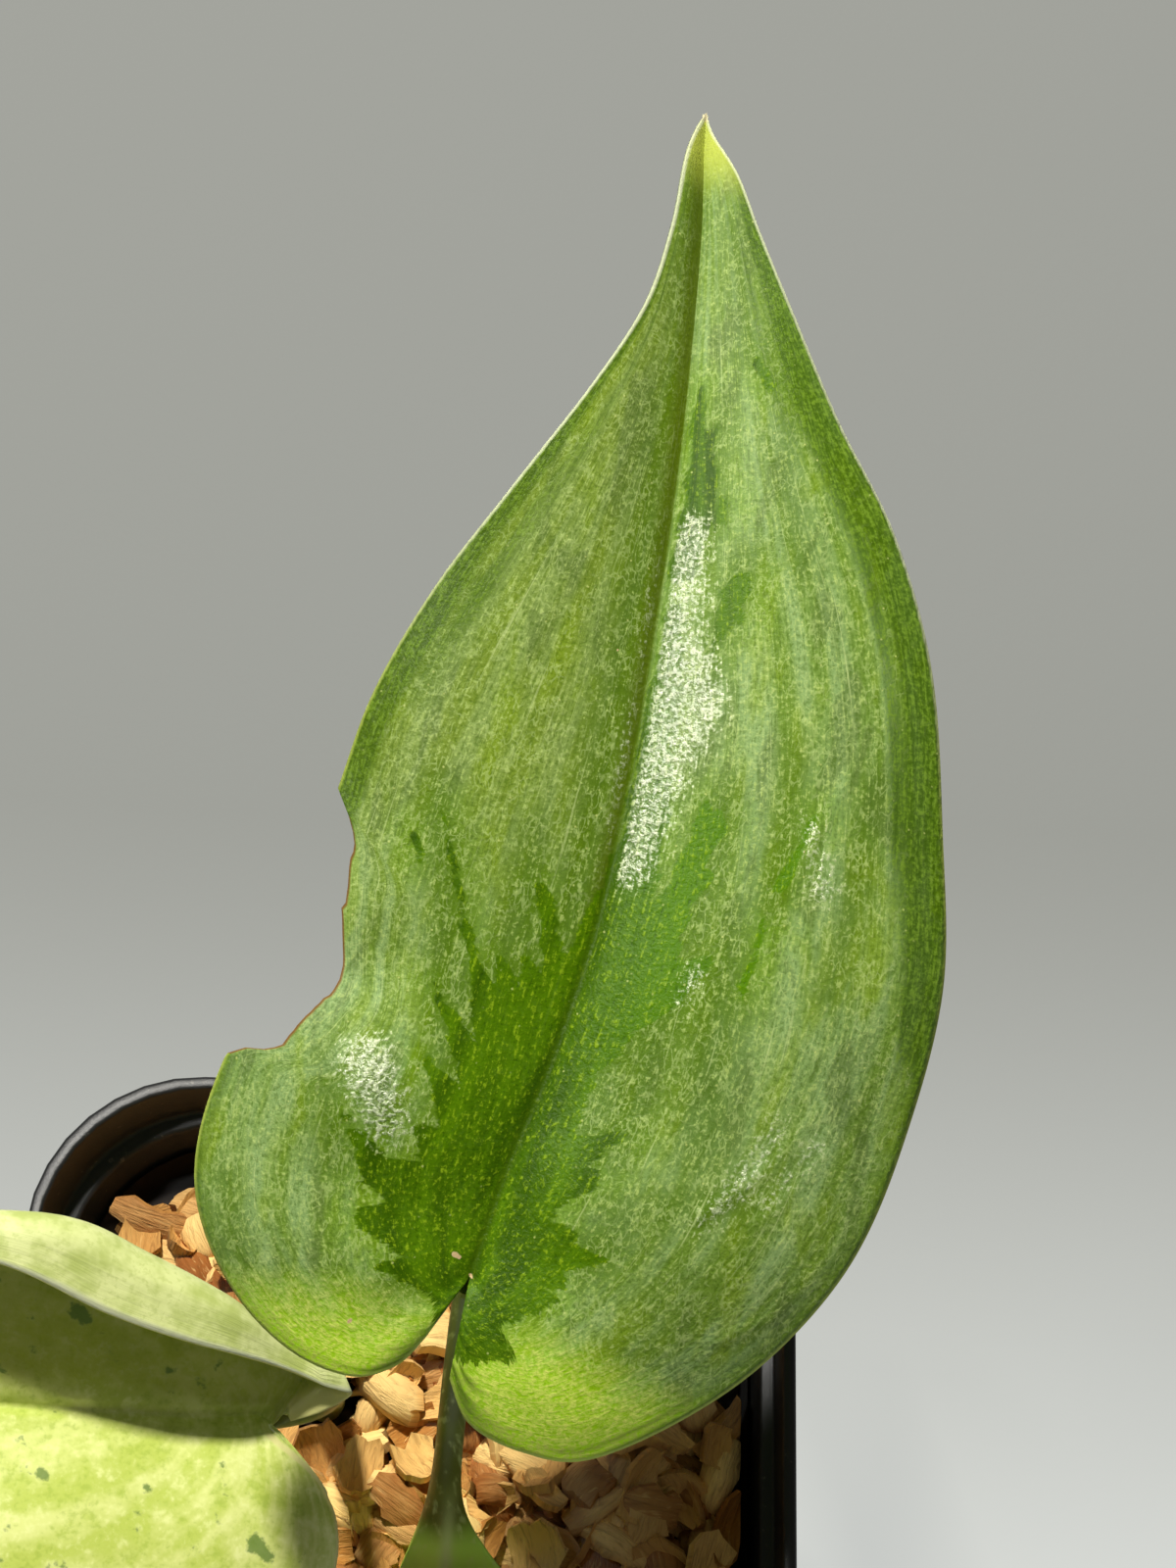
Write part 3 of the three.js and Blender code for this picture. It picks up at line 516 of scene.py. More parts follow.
upper_line = [Vector((5, -11, 63)), Vector((6.4, -11.6, 88)), Vector((8.2, -5.4, 116)), upper_leaf.stalk_end]
stalk_mesh = round_rod(64, 90)
ridge_highlight_layer, low_layer = (stalk_mesh.verts.layers.float.new(name) for name in ("ridge_highlight", "low"))
for vertex in stalk_mesh.verts:
    u = vertex.co.z + 0.5
    point, heading = line_point(upper_line, u)
    right = Vector((1, 0, 0))
    front = right.cross(heading).normalized()
    section = sheath_section(u, math.atan2(vertex.co.y, vertex.co.x))
    # painted highlight: a pale line along the ridge between the stalk and its right wing
    vertex[ridge_highlight_layer] = math.exp(-(((section[0] - 0.6) / 0.7) ** 2)) * smooth_step((0.6 - u) / 0.3)
    # the foot: a paler sheath, partly painted light below the blade's shadow
    vertex[low_layer] = smooth_step((0.46 - u) / 0.12)
    place = point + right * section[0] + front * section[1]
    if u > 0.999:
        height = (place - upper_leaf.stalk_end).dot(upper_leaf.up)
        place -= heading * (height / heading.dot(upper_leaf.up))
    vertex.co = place * MM
bmesh.ops.recalc_face_normals(stalk_mesh, faces=list(stalk_mesh.faces))


def stalk_material(name, shade, lit, edge, foot):
    """Waxy stalk skin: fine lengthwise streaks, a paler foot that also carries painted light, and a painted
    highlight along the ridge.
    """
    skin = Skin(name)
    place = skin.place()
    cloudy = skin.grain(place, 90.0)
    streaks = skin.grain(skin.add("Mapping", {"Vector": place, "Scale": (1.0, 1.0, 0.06)}), 1400.0, 3.0)
    colour = skin.paint(
        skin.blend(skin.step(cloudy, 0.3, 0.7), shade, lit),
        # the foot: a paler sheath, and painted light on the lower sheath below the blade's shadow
        (skin.value("low"), foot),
        (skin.step(streaks, 0.5, 0.8, 0.0, 0.5), edge),
        # painted highlight along the ridge
        (skin.product(skin.value("ridge_highlight"), 0.9), edge),
    )
    skin.finish(Base_Color=colour, Roughness=0.38, Specular_IOR_Level=0.3)
    skin.relief(streaks, 0.0001, 0.4)
    return skin.material


# edge colour: pale streaks and the ridge's painted highlight; foot colour: paler sheath with painted light
upper_skin = stalk_material("upper_stalk_skin", srgb(78, 86, 6), srgb(104, 118, 18), srgb(206, 220, 140),
                            srgb(184, 230, 84))
upper_stalk = finished("upper_stalk", stalk_mesh, upper_skin)
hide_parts("upper_petiole")


# Upper blade: a fleshy heart-shaped leaf, silvery sage with dark green feathering round its midrib,
# grown from the stalk at the notch. An insect has eaten a bite out of its left margin.
upper_leaf.rib = [
    (0, 0), (0, 0.2), (0.1, 0.5), (0.1, 1), (0.3, 2.3), (0.6, 4.7), (1, 7.7), (1.6, 11.4), (2.5, 15.6),
    (3.6, 21.8), (4.9, 32.5), (5.3, 45.8), (5, 58.5), (4.4, 71.7), (3.4, 85.4), (2, 99.6), (0.6, 109.2),
    (0, 114),
]
upper_leaf.margin = {
    -1: [
        (-2.8, -6), (-4.8, -8.8), (-8.5, -10.5), (-14, -9.5), (-19.5, -6), (-24, -0.5), (-26, 5.5),
        (-25.5, 13.5), (-22.5, 25), (-20.5, 39.5), (-19, 49), (-15.5, 59), (-10.5, 69.5), (-5.5, 80.5),
        (-2, 90.5), (-1, 99.5), (-1, 108.5), (0, 114),
    ],
    1: [
        (0, -9), (2.5, -12.5), (7.5, -14), (13.5, -13.5), (21.5, -8), (28, -1), (33, 8), (35.5, 19),
        (36.5, 33), (34, 47), (30.5, 61.5), (25, 73.5), (18, 83.5), (12, 93.5), (7.4, 101.5), (4.3, 107.3),
        (1.2, 111.4), (0, 114),
    ],
}
upper_leaf.section = {
    -1: [(0, 0), (0.2, 0.04), (0.4, 0.06), (0.6, 0.055), (0.8, 0.02), (1, -0.04)],
    1: [(0, 0), (0.1, 0.045), (0.2, 0.08), (0.4, 0.12), (0.6, 0.12), (0.8, 0.07), (1, -0.02)],
}
upper_leaf.tip_section = {
    -1: [(0, 0), (0.2, 0.18), (0.4, 0.38), (0.6, 0.58), (0.8, 0.76), (1, 0.9)],
    1: [(0, 0), (0.1, 0.05), (0.2, 0.09), (0.4, 0.16), (0.6, 0.2), (0.8, 0.21), (1, 0.18)],
}
upper_leaf.tip_from = 0.5
upper_leaf.curl = None
upper_leaf.bow = 0.12
upper_leaf.arch = lambda along: 5 * ((45 / 60) ** 2 - ((along - 45) / 60) ** 2)
# The bite's edge: (along, how far across the blade is gone)
upper_leaf.bite = [
    (14.2, -26.5), (14.9, -25.2), (15.4, -24.2), (15.9, -23.3), (15.6, -22.4), (15.6, -21.8), (16.2, -21.0),
    (16.6, -20.3), (17.6, -19.8), (19.1, -19), (20.2, -18.2), (21.3, -17.5), (21.6, -17.1), (23.0, -16.5),
    (24.6, -16.5), (25.9, -16.8), (27.0, -17.1), (28.0, -17.3), (29.4, -17.7), (30.0, -17.4), (32.0, -17.6),
    (33.6, -17.9), (35.0, -17.7), (36.8, -18.3), (37.8, -18.9), (38.4, -19.6), (38.6, -20.3), (39.3, -21.5),
]


def ease(values):
    share = np.clip(values, 0, 1)
    return share * share * (3 - 2 * share)


def through_points(points, share):
    """Points of the smooth curve through a table's places, for shares of the way along the table."""
    points = np.array(points, float)
    last = len(points) - 1
    at = np.clip(share, 0, 1) * last
    low = np.minimum(at.astype(int), last - 1)
    w = (at - low)[:, None]
    a, b, c, d = (points[np.clip(low + k, 0, last)] for k in (-1, 0, 1, 2))
    slope_b, slope_c = (c - a) / 2, (d - b) / 2
    return ((2 * b - 2 * c + slope_b + slope_c) * w ** 3 + (3 * c - 3 * b - 2 * slope_b - slope_c) * w ** 2
            + slope_b * w + b)


def section_height(section, share):
    """Height of a section: a smooth curve through its places, as steep at each as its neighbours ask."""
    x, y = np.array(section, float).T
    last = len(x) - 1
    before, after = np.maximum(np.arange(last + 1) - 1, 0), np.minimum(np.arange(last + 1) + 1, last)
    slope = (y[after] - y[before]) / (x[after] - x[before])
    k = np.clip(np.searchsorted(x, share, side="right") - 1, 0, last - 1)
    span = x[k + 1] - x[k]
    w = (share - x[k]) / span
    ends = y[k] * (1 + 2 * w) * (1 - w) ** 2 + y[k + 1] * (3 - 2 * w) * w * w
    return ends + span * w * (1 - w) * (slope[k] * (1 - w) - slope[k + 1] * w)


def vein_places(leaf, side, u, t):
    """Flat places (across, along) on the veins of one half of the leaf, and the half's width there."""
    root = through_points(leaf.rib, u)
    end = through_points(leaf.margin[side], u)
    chord = end - root
    bow = leaf.bow * ease((u - 0.3) / 0.3)
    middle = root + chord / 2 + np.stack([chord[:, 1], -chord[:, 0]], 1) * (side * bow)[:, None]
    v = t[:, None]
    flat = root * (1 - v) ** 2 + 2 * middle * v * (1 - v) + end * v * v
    rib = through_points(leaf.rib, np.linspace(0, 1, 201))
    width = np.linalg.norm(end[:, None] - rib[None], axis=2).min(1)
    return flat, width


def bite_reach(leaf, rows):
    """Share of each left vein that the bite has left."""
    along, across = np.array(leaf.bite).T
    steps = np.linspace(0.3, 1, 240)
    reach = np.ones(len(rows))
    for i, u in enumerate(rows):
        flat, _ = vein_places(leaf, -1, np.full(len(steps), u), steps)
        gone = np.interp(flat[:, 1], along, across, left=-99, right=-99)
        beyond = np.nonzero(flat[:, 0] < gone)[0]
        if len(beyond):
            reach[i] = steps[beyond[0]]
    return reach


def distance_to(flat, line):
    """Distance from flat places to a line of places, in millimetres."""
    near_line = kdtree.KDTree(len(line))
    for i, (x, y) in enumerate(line):
        near_line.insert((x, y, 0), i)
    near_line.balance()
    return np.array([near_line.find((x, y, 0))[2] for x, y in flat])


def blade_points(leaf, place_shares, row_count, details):
    """Places of a blade's upper face for grid places (across -1 to 1, along -1 to 1), and what its
    colours need: flat places, distances to the margin and the midrib, and how much is bitten off."""
    across, rows = place_shares[:, 0], (place_shares[:, 1] + 1) / 2
    t = np.abs(across) ** 1.15
    result = np.zeros((len(across), 3))
    flat_all = np.zeros((len(across), 2))
    left_by_bite = np.full(len(across), 99.0)
    samples = np.linspace(0, 1, 900)
    rib_line = through_points(leaf.rib, samples)
    margins = {side: through_points(leaf.margin[side], samples) for side in (-1, 1)}
    for side in (-1, 1):
        here = across < 0 if side == -1 else across >= 0
        u, share = rows[here], t[here]
        if side == -1 and leaf.bite:
            row_shares = np.linspace(0, 1, row_count + 1)
            reach = bite_reach(leaf, row_shares)[np.rint(u * row_count).astype(int)]
            inner = 0.4
            share = np.where(share > inner, inner + (reach - inner) * (share - inner) / (1 - inner), share)
            bitten = reach < 0.999
        flat, width = vein_places(leaf, side, u, share)
        if side == -1 and leaf.bite:
            gap = (reach - share) * width
            left_by_bite[here] = np.where(bitten, gap, 99.0)
        near_tip = ease((u - leaf.tip_from) / (1 - leaf.tip_from))
        section = (section_height(leaf.section[side], share) * (1 - near_tip)
                   + section_height(leaf.tip_section[side], share) * near_tip)
        height = width * section + leaf.arch(flat[:, 1]) + BLADE_THICKNESS / 2
        lean = width * section_height(leaf.curl, share) * (1 - near_tip) if leaf.curl and side == 1 else 0
        result[here] = np.column_stack([flat[:, 0] - lean, flat[:, 1], height])
        flat_all[here] = flat
    rib_distance = distance_to(flat_all, rib_line)
    outline = np.vstack([margins[-1], margins[1]])
    margin_distance = distance_to(flat_all, outline)
    result[:, 2] += details(flat_all, rib_distance, margin_distance, rows)
    axes = np.array([leaf.across, leaf.along, leaf.up])
    places = np.array(leaf.notch) + result @ axes
    return places, flat_all, rib_distance, margin_distance, left_by_bite, t, rows


def stroke_depth(flat, strokes):
    """How deep places lie inside the widest of some tapered strokes, in millimetres; below 0 outside.
    A stroke is a chain of places (across, along, half-width)."""
    depth = np.full(len(flat), -9.0)
    for stroke in strokes:
        for (x0, y0, r0), (x1, y1, r1) in zip(stroke, stroke[1:]):
            line = np.array([x1 - x0, y1 - y0])
            w = np.clip(((flat - (x0, y0)) @ line) / (line @ line), 0, 1)
            distance = np.linalg.norm(flat - np.array([x0, y0]) - w[:, None] * line, axis=1)
            depth = np.maximum(depth, r0 + (r1 - r0) * w - distance)
    return depth


def bump_at(flat, x, y, size, height):
    return height * np.exp(-(((flat[:, 0] - x) ** 2 + (flat[:, 1] - y) ** 2) / size ** 2))


def blade_mesh(leaf, columns, rows, details, paint):
    """The blade's upper face: a grid moved onto the leaf, with the values that its colours read."""
    mesh = bmesh.new()
    bmesh.ops.create_grid(mesh, x_segments=columns, y_segments=rows, size=1)
    mesh.verts.ensure_lookup_table()
    shares = np.array([vertex.co[:2] for vertex in mesh.verts])
    places, flat, rib, margin, bite, t, u = blade_points(leaf, shares, rows, details)
    values = {"rib": rib, "margin": margin, "bite": bite, "share": t * np.sign(shares[:, 0]), "vein": u,
              "flat_x": flat[:, 0], "flat_y": flat[:, 1]}
    values.update(paint(flat, margin))
    for name, numbers in values.items():
        layer = mesh.verts.layers.float.new(name)
        for vertex, number in zip(mesh.verts, numbers):
            vertex[layer] = number
    for vertex, spot in zip(mesh.verts, places):
        vertex.co = Vector(spot) * MM
    bmesh.ops.remove_doubles(mesh, verts=list(mesh.verts), dist=0.01 * MM)
    return mesh


def vertex_values(piece, name):
    numbers = np.zeros(len(piece.data.vertices), dtype=np.float32)
    piece.data.attributes[name].data.foreach_get("value", numbers)
    return numbers


def give_thickness(piece, underside):
    """Thickness below the upper face, most along the midrib and least at the margin, and the material
    of the underside."""
    piece.data.materials.append(underside)
    rib, margin, vein = (vertex_values(piece, name) for name in ("rib", "margin", "vein"))
    keel = np.exp(-((rib / 1.3) ** 2)) * np.sqrt(np.maximum(0.02, 1 - vein)) * ease(margin / 5.0)
    lamina = 0.4 + 0.5 * ease(margin / 3.0)
    full = BLADE_THICKNESS + RIB_DEPTH
    group = piece.vertex_groups.new(name="thickness")
    for i, share in enumerate((lamina + keel * RIB_DEPTH) / full):
        group.add([i], float(share), "REPLACE")
    solidify = piece.modifiers.new("thickness", "SOLIDIFY")
    solidify.thickness = full * MM
    solidify.offset = -1
    solidify.vertex_group = "thickness"
    solidify.thickness_vertex_group = 0.0
    solidify.material_offset = 1


def upper_details(flat, rib, margin, rows):
    """Small heights on the upper blade: the midrib's groove, the lobe's bulge, dents and creases."""
    groove = -0.28 * np.exp(-((rib / 0.85) ** 2))
    fade = np.clip(margin / 3, 0, 1)
    lobe = bump_at(flat, -12, 14.5, 4.5, 0.8) + bump_at(flat, -14.5, 25, 3.6, -0.9)
    creases = [[(18.5, 9, 0.5), (23.5, 14, 0.5), (27.5, 20.5, 0.1)], [(24, 9.5, 0.4), (28.5, 16.5, 0.1)],
               [(22, -1.5, 0.3), (27, 2, 0.4), (33, 11, 0.4)], [(20.5, 38, 0.3), (24.5, 50, 0.5)]]
    crease = 0.22 * np.clip(stroke_depth(flat, creases) + 0.4, 0, 1)
    wave = 0.18 * np.sin(rows * 35.7 + flat[:, 0] * 0.1) * np.clip(rib / 8, 0, 1)
    return groove + fade * (lobe + crease + wave)


# Dark green feathering: tapered strokes, each a chain of places (across, along, half-width)
UPPER_FEATHERS = [
    # along the midrib, from the notch up
    [(0.3, -3.5, 2.8), (0.6, 6, 5.6), (1.8, 13, 4.6), (3.4, 22, 4.6)],
    [(4.6, 22, 3.8), (6.5, 31, 3.2), (7.5, 40, 2.0), (6.4, 62, 1.0)], [(6.4, 66, 1.3), (6.0, 79, 1.0)],
    [(5.2, 79, 0.6), (4.7, 84.5, 0.3)],
    # left half
    [(-2, 0, 2.6), (-8, -0.4, 0.4)], [(-3, 3, 3.4), (-9.6, 3.2, 1.2)], [(-5, 6.5, 3.0), (-10.2, 7.5, 1.3)],
    [(-9, 7, 1.5), (-13.6, 11.6, 0.25)], [(-3, 9, 3.2), (-6.6, 11.6, 0.6)],
    [(-3, 13, 2.6), (-7.5, 17.8, 0.3)], [(-1.5, 16, 2.8), (-5.0, 20.2, 0.8)],
    [(-4, 19, 1.0), (-8.2, 24.4, 0.3)], [(-1.5, 20, 2.2), (-5.2, 27, 0.5)],
    [(-5, 26.5, 0.5), (-10.6, 39.5, 0.15)], [(-12.4, 37, 0.5), (-11.6, 34.8, 0.3)],
    [(1.0, 20, 2.2), (-2.8, 27.6, 0.5)], [(1.2, 23, 1.8), (-0.4, 28.2, 0.5)],
    [(2.6, 24, 1.3), (1.2, 30, 1.1), (-0.7, 34.8, 0.3)],
    # right half
    [(1.5, -5, 2.5), (4.4, -6, 0.8)], [(2, -1, 3.4), (7.2, -0.5, 0.8)], [(4, 2, 3.4), (7, 1.5, 1.2)],
    [(6, 3.2, 2.0), (11.2, 3.9, 0.25)], [(3, 5, 2.6), (8.0, 5.2, 0.5)], [(3, 8.5, 3.0), (8.6, 10.2, 1.0)],
    [(3.5, 11.5, 2.8), (8, 12.6, 1.2)], [(6.5, 12.4, 1.4), (10.6, 14.6, 0.25)],
    [(3.2, 14, 1.8), (4.4, 17, 1.6)], [(5, 18, 2.0), (7.5, 24, 2.4), (11.5, 28, 2.2)],
    [(11, 28, 1.8), (15.2, 30.9, 0.5)], [(9.5, 29, 2.4), (11.4, 34, 1.6)],
    [(10.8, 35, 1.6), (12.8, 38, 1.4)], [(11.8, 39, 1.2), (13.4, 43.4, 0.9)],
    [(12.4, 42, 0.8), (12.2, 45, 0.3)],
    # patches by themselves
    [(10.2, 58.4, 0.25), (10.9, 62.5, 0.9), (11.9, 65.8, 0.9)], [(12.2, 65.6, 0.3), (12.2, 62, 0.2)],
    [(6.9, 75, 0.7), (6.8, 81.2, 0.15)], [(7.2, 70, 0.9), (7.4, 75.5, 0.8)],
    [(8.4, 71.2, 0.6), (8.9, 73.2, 0.5)], [(22.0, 45.6, 0.25), (20.2, 38.5, 0.4)],
    [(19.4, 35, 0.3), (18.4, 28.5, 0.4)], [(9.4, 87.5, 0.5), (11.2, 85.3, 0.4)],
]
# Half-green haze between the feathers, and painted shade beside the midrib's left side and near the tip, as
# strokes
UPPER_HAZE_AND_SHADE = [
    [(2.8, 24, 3.0), (2.4, 40, 2.5), (2.3, 62, 2.3), (1.8, 86, 1.3)], [(1.8, 86, 1.2), (0.6, 104, 0.9)],
    [(-2, 12, 4.5), (-7, 26, 2.4), (-11.5, 42, 1.4)], [(-1, 24, 3.4), (-2, 40, 1.6)],
    [(-14, 8, 1.6), (-16, 16, 0.8)], [(9, 14, 3.4), (12, 30, 3.6), (14, 46, 1.8)],
    [(17.6, 14, 2.6), (16.7, 28, 2.8), (16, 36, 1.2)], [(19.5, 37, 2.0), (19.7, 51, 1.2)],
    [(10, 56, 1.4), (11.5, 68, 1.8)], [(7, 68, 2.2), (7.2, 84, 1.0)], [(10, 4, 2.2), (15, 10, 1.6)],
    [(9, -6, 1.6), (15, -4, 0.6)], [(26, 30, 1.4), (27, 50, 1.2)], [(12.8, 80, 1.2), (17.6, 68, 1.4)],
    [(8.5, 88, 1.4), (4.4, 102, 0.9)], [(14, 78, 1.2), (10, 91, 1.2)], [(12, 8, 2.0), (21, 11, 2.2)],
    [(-22.6, 4, 1.2), (-20.8, -1, 1.0)], [(-6, -1.4, 1.0), (-9, -3.4, 0.9)],
    [(-15, 50, 1.4), (-11.5, 60, 1.2)],
]
# Places where the wax is smoothest and takes the light, and where pale glints are painted on as highlights,
# as strokes
UPPER_SHEEN = [
    [(6.3, 70, 0.4), (6.8, 60, 1.2), (8.6, 54, 2.5), (7.3, 47, 1.9), (6.9, 38, 0.4)],
    [(-9.9, 12, 0.9), (-12.6, 16.4, 1.3)], [(19, 8.5, -0.9), (21.5, 12.3, -0.2), (23.8, 17.8, -0.7)],
    [(24, 11, -1.1), (27.5, 17, -0.8)], [(21.7, 44.5, -0.8), (24.0, 39.2, -0.1)],
    [(13.4, 27.2, -1.0), (14.2, 29.6, -0.8)],
]
# Soil crumbs and dried drops on the blade, as strokes
UPPER_CRUMBS = [
    [(-1.7, 1.7, 0.25), (-1.2, 1.5, 0.15)], [(21.6, 42.2, 0.22), (22.0, 42.1, 0.12)],
    [(-9.6, -5.8, 0.2), (-9.5, -5.6, 0.15)], [(0.0, 0.2, 0.12), (0.2, 0.0, 0.1)],
    [(1.9, 57.2, 0.1), (1.9, 57.3, 0.1)],
]


def upper_paint(flat, margin):
    """Values for the upper blade's colours: the feathering, the haze round it with painted shade beside the
    midrib and near the tip, crumbs, smooth wax with its painted glints, the margin's band, the two lobes'
    foot with painted light, and how olive the left half is."""
    x, y = flat[:, 0], flat[:, 1]
    side = x > np.interp(y, *np.array([(p[1], p[0]) for p in upper_leaf.rib]).T)
    right_band = np.interp(y, [-14, 5, 24, 30, 45, 60, 72, 84, 96, 108],
                           [0.8, 1.2, 1.6, 4.4, 4.8, 4.2, 4.6, 4.4, 2.6, 0.6])
    left_band = np.interp(y, [-14, 14, 36, 44, 60, 76, 84, 114], [0.6, 0.8, 1.6, 3.2, 3.6, 2.2, 0.8, 0.2])
    band = np.where(side, right_band, left_band) - margin
    # the lobes' foot: their own yellow-green, and painted light where they slope away from the lamps
    foot = np.where(side, np.interp(y + 0.25 * np.abs(x - 8), [-14, -7, -2], [1, 0.75, 0]),
                    np.interp(y + 0.15 * np.abs(x + 10), [-11, -6, -1], [1, 0.7, 0]))
    olive = np.where(side, 0.0, np.interp(y, [22, 45, 90, 108], [0, 1, 1, 0]))
    return {"feather": stroke_depth(flat, UPPER_FEATHERS), "haze": stroke_depth(flat, UPPER_HAZE_AND_SHADE),
            "crumb": stroke_depth(flat, UPPER_CRUMBS), "wax": stroke_depth(flat, UPPER_SHEEN),
            "band": band, "foot": foot, "olive": olive}


def turn_faces_up(mesh):
    bmesh.ops.recalc_face_normals(mesh, faces=list(mesh.faces))
    if sum(face.normal.z for face in mesh.faces) < 0:
        bmesh.ops.reverse_faces(mesh, faces=list(mesh.faces))


upper_mesh = blade_mesh(upper_leaf, 112, 340, upper_details, upper_paint)
turn_faces_up(upper_mesh)


def vein_place(skin, vein_scale, share_scale, slant=0.0):
    """A place on the blade that runs fast across the veins or across the rows, for streaks. A slant lets
    the streaks run from the midrib towards the tip."""
    outwards = skin.add("Math", {0: skin.value("share")}, operation="ABSOLUTE")
    vein = skin.sum(skin.product(skin.value("vein"), vein_scale), skin.product(outwards, -slant))
    return skin.add("CombineXYZ", {"X": vein, "Y": skin.product(skin.value("share"), share_scale)})


def flat_place(skin, along_scale):
    """A place on the blade laid flat, in millimetres, drawn out along the leaf."""
    along = skin.product(skin.value("flat_y"), along_scale)
    return skin.add("CombineXYZ", {"X": skin.value("flat_x"), "Y": along})


def underside_material(name, shade, lit):
    """The blade's underside: matt and pale, with the veins' faint streaks and soft patches."""
    skin = Skin(name)
    place = skin.place()
    streaks = skin.grain(vein_place(skin, 9.0, 34.0), 1.0, 3.0, 0.6)
    patches = skin.grain(place, 260.0, 3.0, 0.6)
    fine = skin.grain(place, 1500.0, 2.0, 0.6)
    colour = skin.paint(
        skin.blend(skin.step(patches, 0.35, 0.65), shade, lit),
        (skin.step(streaks, 0.5, 0.72, 0.0, 0.3), lit),
        (skin.step(fine, 0.48, 0.34, 0.0, 0.4), shade),
        (skin.step(skin.value("margin"), 0.5, 0.15, 0.0, 0.8), srgb(204, 208, 178)),
    )
    skin.finish(Base_Color=colour, Roughness=0.5)
    skin.relief(streaks, 0.0003, 0.4, skin.relief(fine, 0.00008, 0.5))
    return skin.material


skin = Skin("upper_blade_skin")
place = skin.place()
along = skin.value("flat_y")
feather, haze, band, wax, share, from_rib, margin = (
    skin.value(name) for name in ("feather", "haze", "band", "wax", "share", "rib", "margin"))
granules = skin.grain(place, 2300.0, 3.0, 0.65)
mottle = skin.grain(place, 620.0, 3.0, 0.65)
fleece = skin.grain(vein_place(skin, 84.0, 84.0, 30.0), 1.0, 4.0, 0.65)
blotches = skin.grain(flat_place(skin, 0.3), 0.24, 3.0, 0.6, 0.4)
teeth = skin.grain(vein_place(skin, 90.0, 5.0), 1.0, 3.0, 0.65)
long_streaks = skin.grain(vein_place(skin, 7.0, 60.0), 1.0, 3.0, 0.6)
broad_streaks = skin.grain(vein_place(skin, 5.0, 11.0), 1.0)
speckle = skin.mixture(granules, fleece)
fuzzy = skin.swing(speckle, 9.0)

# a net of pale threads that wander over the skin, and pale dots
laid_flat = flat_place(skin, 0.5)
wander = skin.add("TexNoise", {"Vector": laid_flat, "Scale": 1.1, "Detail": 2.0}, "Color")
wandering = skin.add("VectorMath", {0: wander, 1: (1.4, 1.4, 1.4), 2: laid_flat}, operation="MULTIPLY_ADD")
net = skin.add("TexVoronoi", {"Vector": wandering, "Scale": 1.5}, "Distance", feature="DISTANCE_TO_EDGE")
in_net = skin.product(skin.step(net, 0.12, 0.02), skin.step(mottle, 0.42, 0.6, 0.0, 0.35))
dots = skin.add("TexVoronoi", {"Vector": place, "Scale": 900.0}, "Distance")
in_dots = skin.product(skin.step(dots, 0.13, 0.05, 0.0, 0.6), skin.step(mottle, 0.45, 0.6))

sage = skin.paint(
    skin.blend(skin.step(broad_streaks, 0.35, 0.65), srgb(108, 140, 50), srgb(136, 166, 102)),
    (skin.product(skin.value("olive"), 0.5), srgb(124, 142, 40)),
    (skin.step(blotches, 0.5, 0.66, 0.0, 0.6), srgb(126, 154, 24)),
    (skin.step(blotches, 0.47, 0.36, 0.0, 0.6), srgb(94, 116, 60)),
    (skin.step(skin.sum(feather, fuzzy), -4.0, 0.6, 0.0, 0.7), srgb(106, 146, 6)),
    # the haze round the feathers, and painted shade beside the midrib's left side and near the tip
    (skin.step(skin.sum(haze, fuzzy), -2.0, 2.2, 0.0, 0.68), srgb(74, 108, 6)),
    (skin.step(speckle, 0.5, 0.4, 0.0, 0.55), srgb(72, 104, 14)),
    (skin.step(speckle, 0.51, 0.63, 0.0, 0.6), srgb(186, 208, 120)),
    (in_net, srgb(190, 212, 134)),
    (skin.step(long_streaks, 0.62, 0.72, 0.0, 0.5), srgb(196, 214, 142)),
)
# the lobes' yellow-green, made brighter with painted light
lobe_green_and_light = skin.blend(skin.step(speckle, 0.4, 0.62), srgb(176, 232, 18), srgb(240, 255, 116))
band_green = skin.blend(skin.step(speckle, 0.44, 0.6), srgb(58, 88, 4), srgb(96, 130, 20))
in_band = skin.sum(skin.sum(band, skin.swing(broad_streaks, 7.0)), skin.product(fuzzy, 0.5))
# painted shade on the fold's left side, where the midrib's shadow lies
fold_shade = skin.product(skin.step(share, 0.02, -0.02), skin.step(from_rib, 2.2, 0.3, 0.0, 0.8))
fold_shade = skin.product(fold_shade, skin.step(along, 20.0, 40.0))

# the feathers are brightest halfway up the right half
lime = skin.product(skin.step(share, 0.0, 0.2), skin.step(along, 14.0, 26.0, 0.0, 0.7))
lime = skin.product(lime, skin.step(along, 56.0, 46.0))
green = skin.paint(
    skin.blend(skin.step(broad_streaks, 0.35, 0.65), srgb(52, 86, 0), srgb(78, 118, 0)),
    (lime, srgb(84, 132, 0)),
    (skin.step(speckle, 0.51, 0.64, 0.0, 0.7), srgb(148, 180, 20)),
    (skin.step(speckle, 0.46, 0.36, 0.0, 0.6), srgb(36, 72, 0)),
)
in_feather = skin.sum(skin.sum(feather, skin.swing(teeth, 2.6)), skin.product(fuzzy, 0.12))
edge_colour = skin.blend(skin.step(along, 45.0, 72.0), srgb(182, 198, 92), srgb(226, 232, 196))
in_rib = skin.product(skin.step(from_rib, 0.7, 0.1, 0.0, 0.75), skin.step(along, 62.0, 28.0, 0.2, 1.0))
in_wax_and_glints = skin.step(skin.sum(wax, skin.product(fuzzy, 1.5)), -1.8, 0.9)
in_wax_and_glints = skin.product(in_wax_and_glints, skin.step(from_rib, 0.3, 1.1))
# painted highlight: pale glints in the smoothest wax
in_glint = skin.product(in_wax_and_glints, skin.step(granules, 0.46, 0.58, 0.0, 0.5))

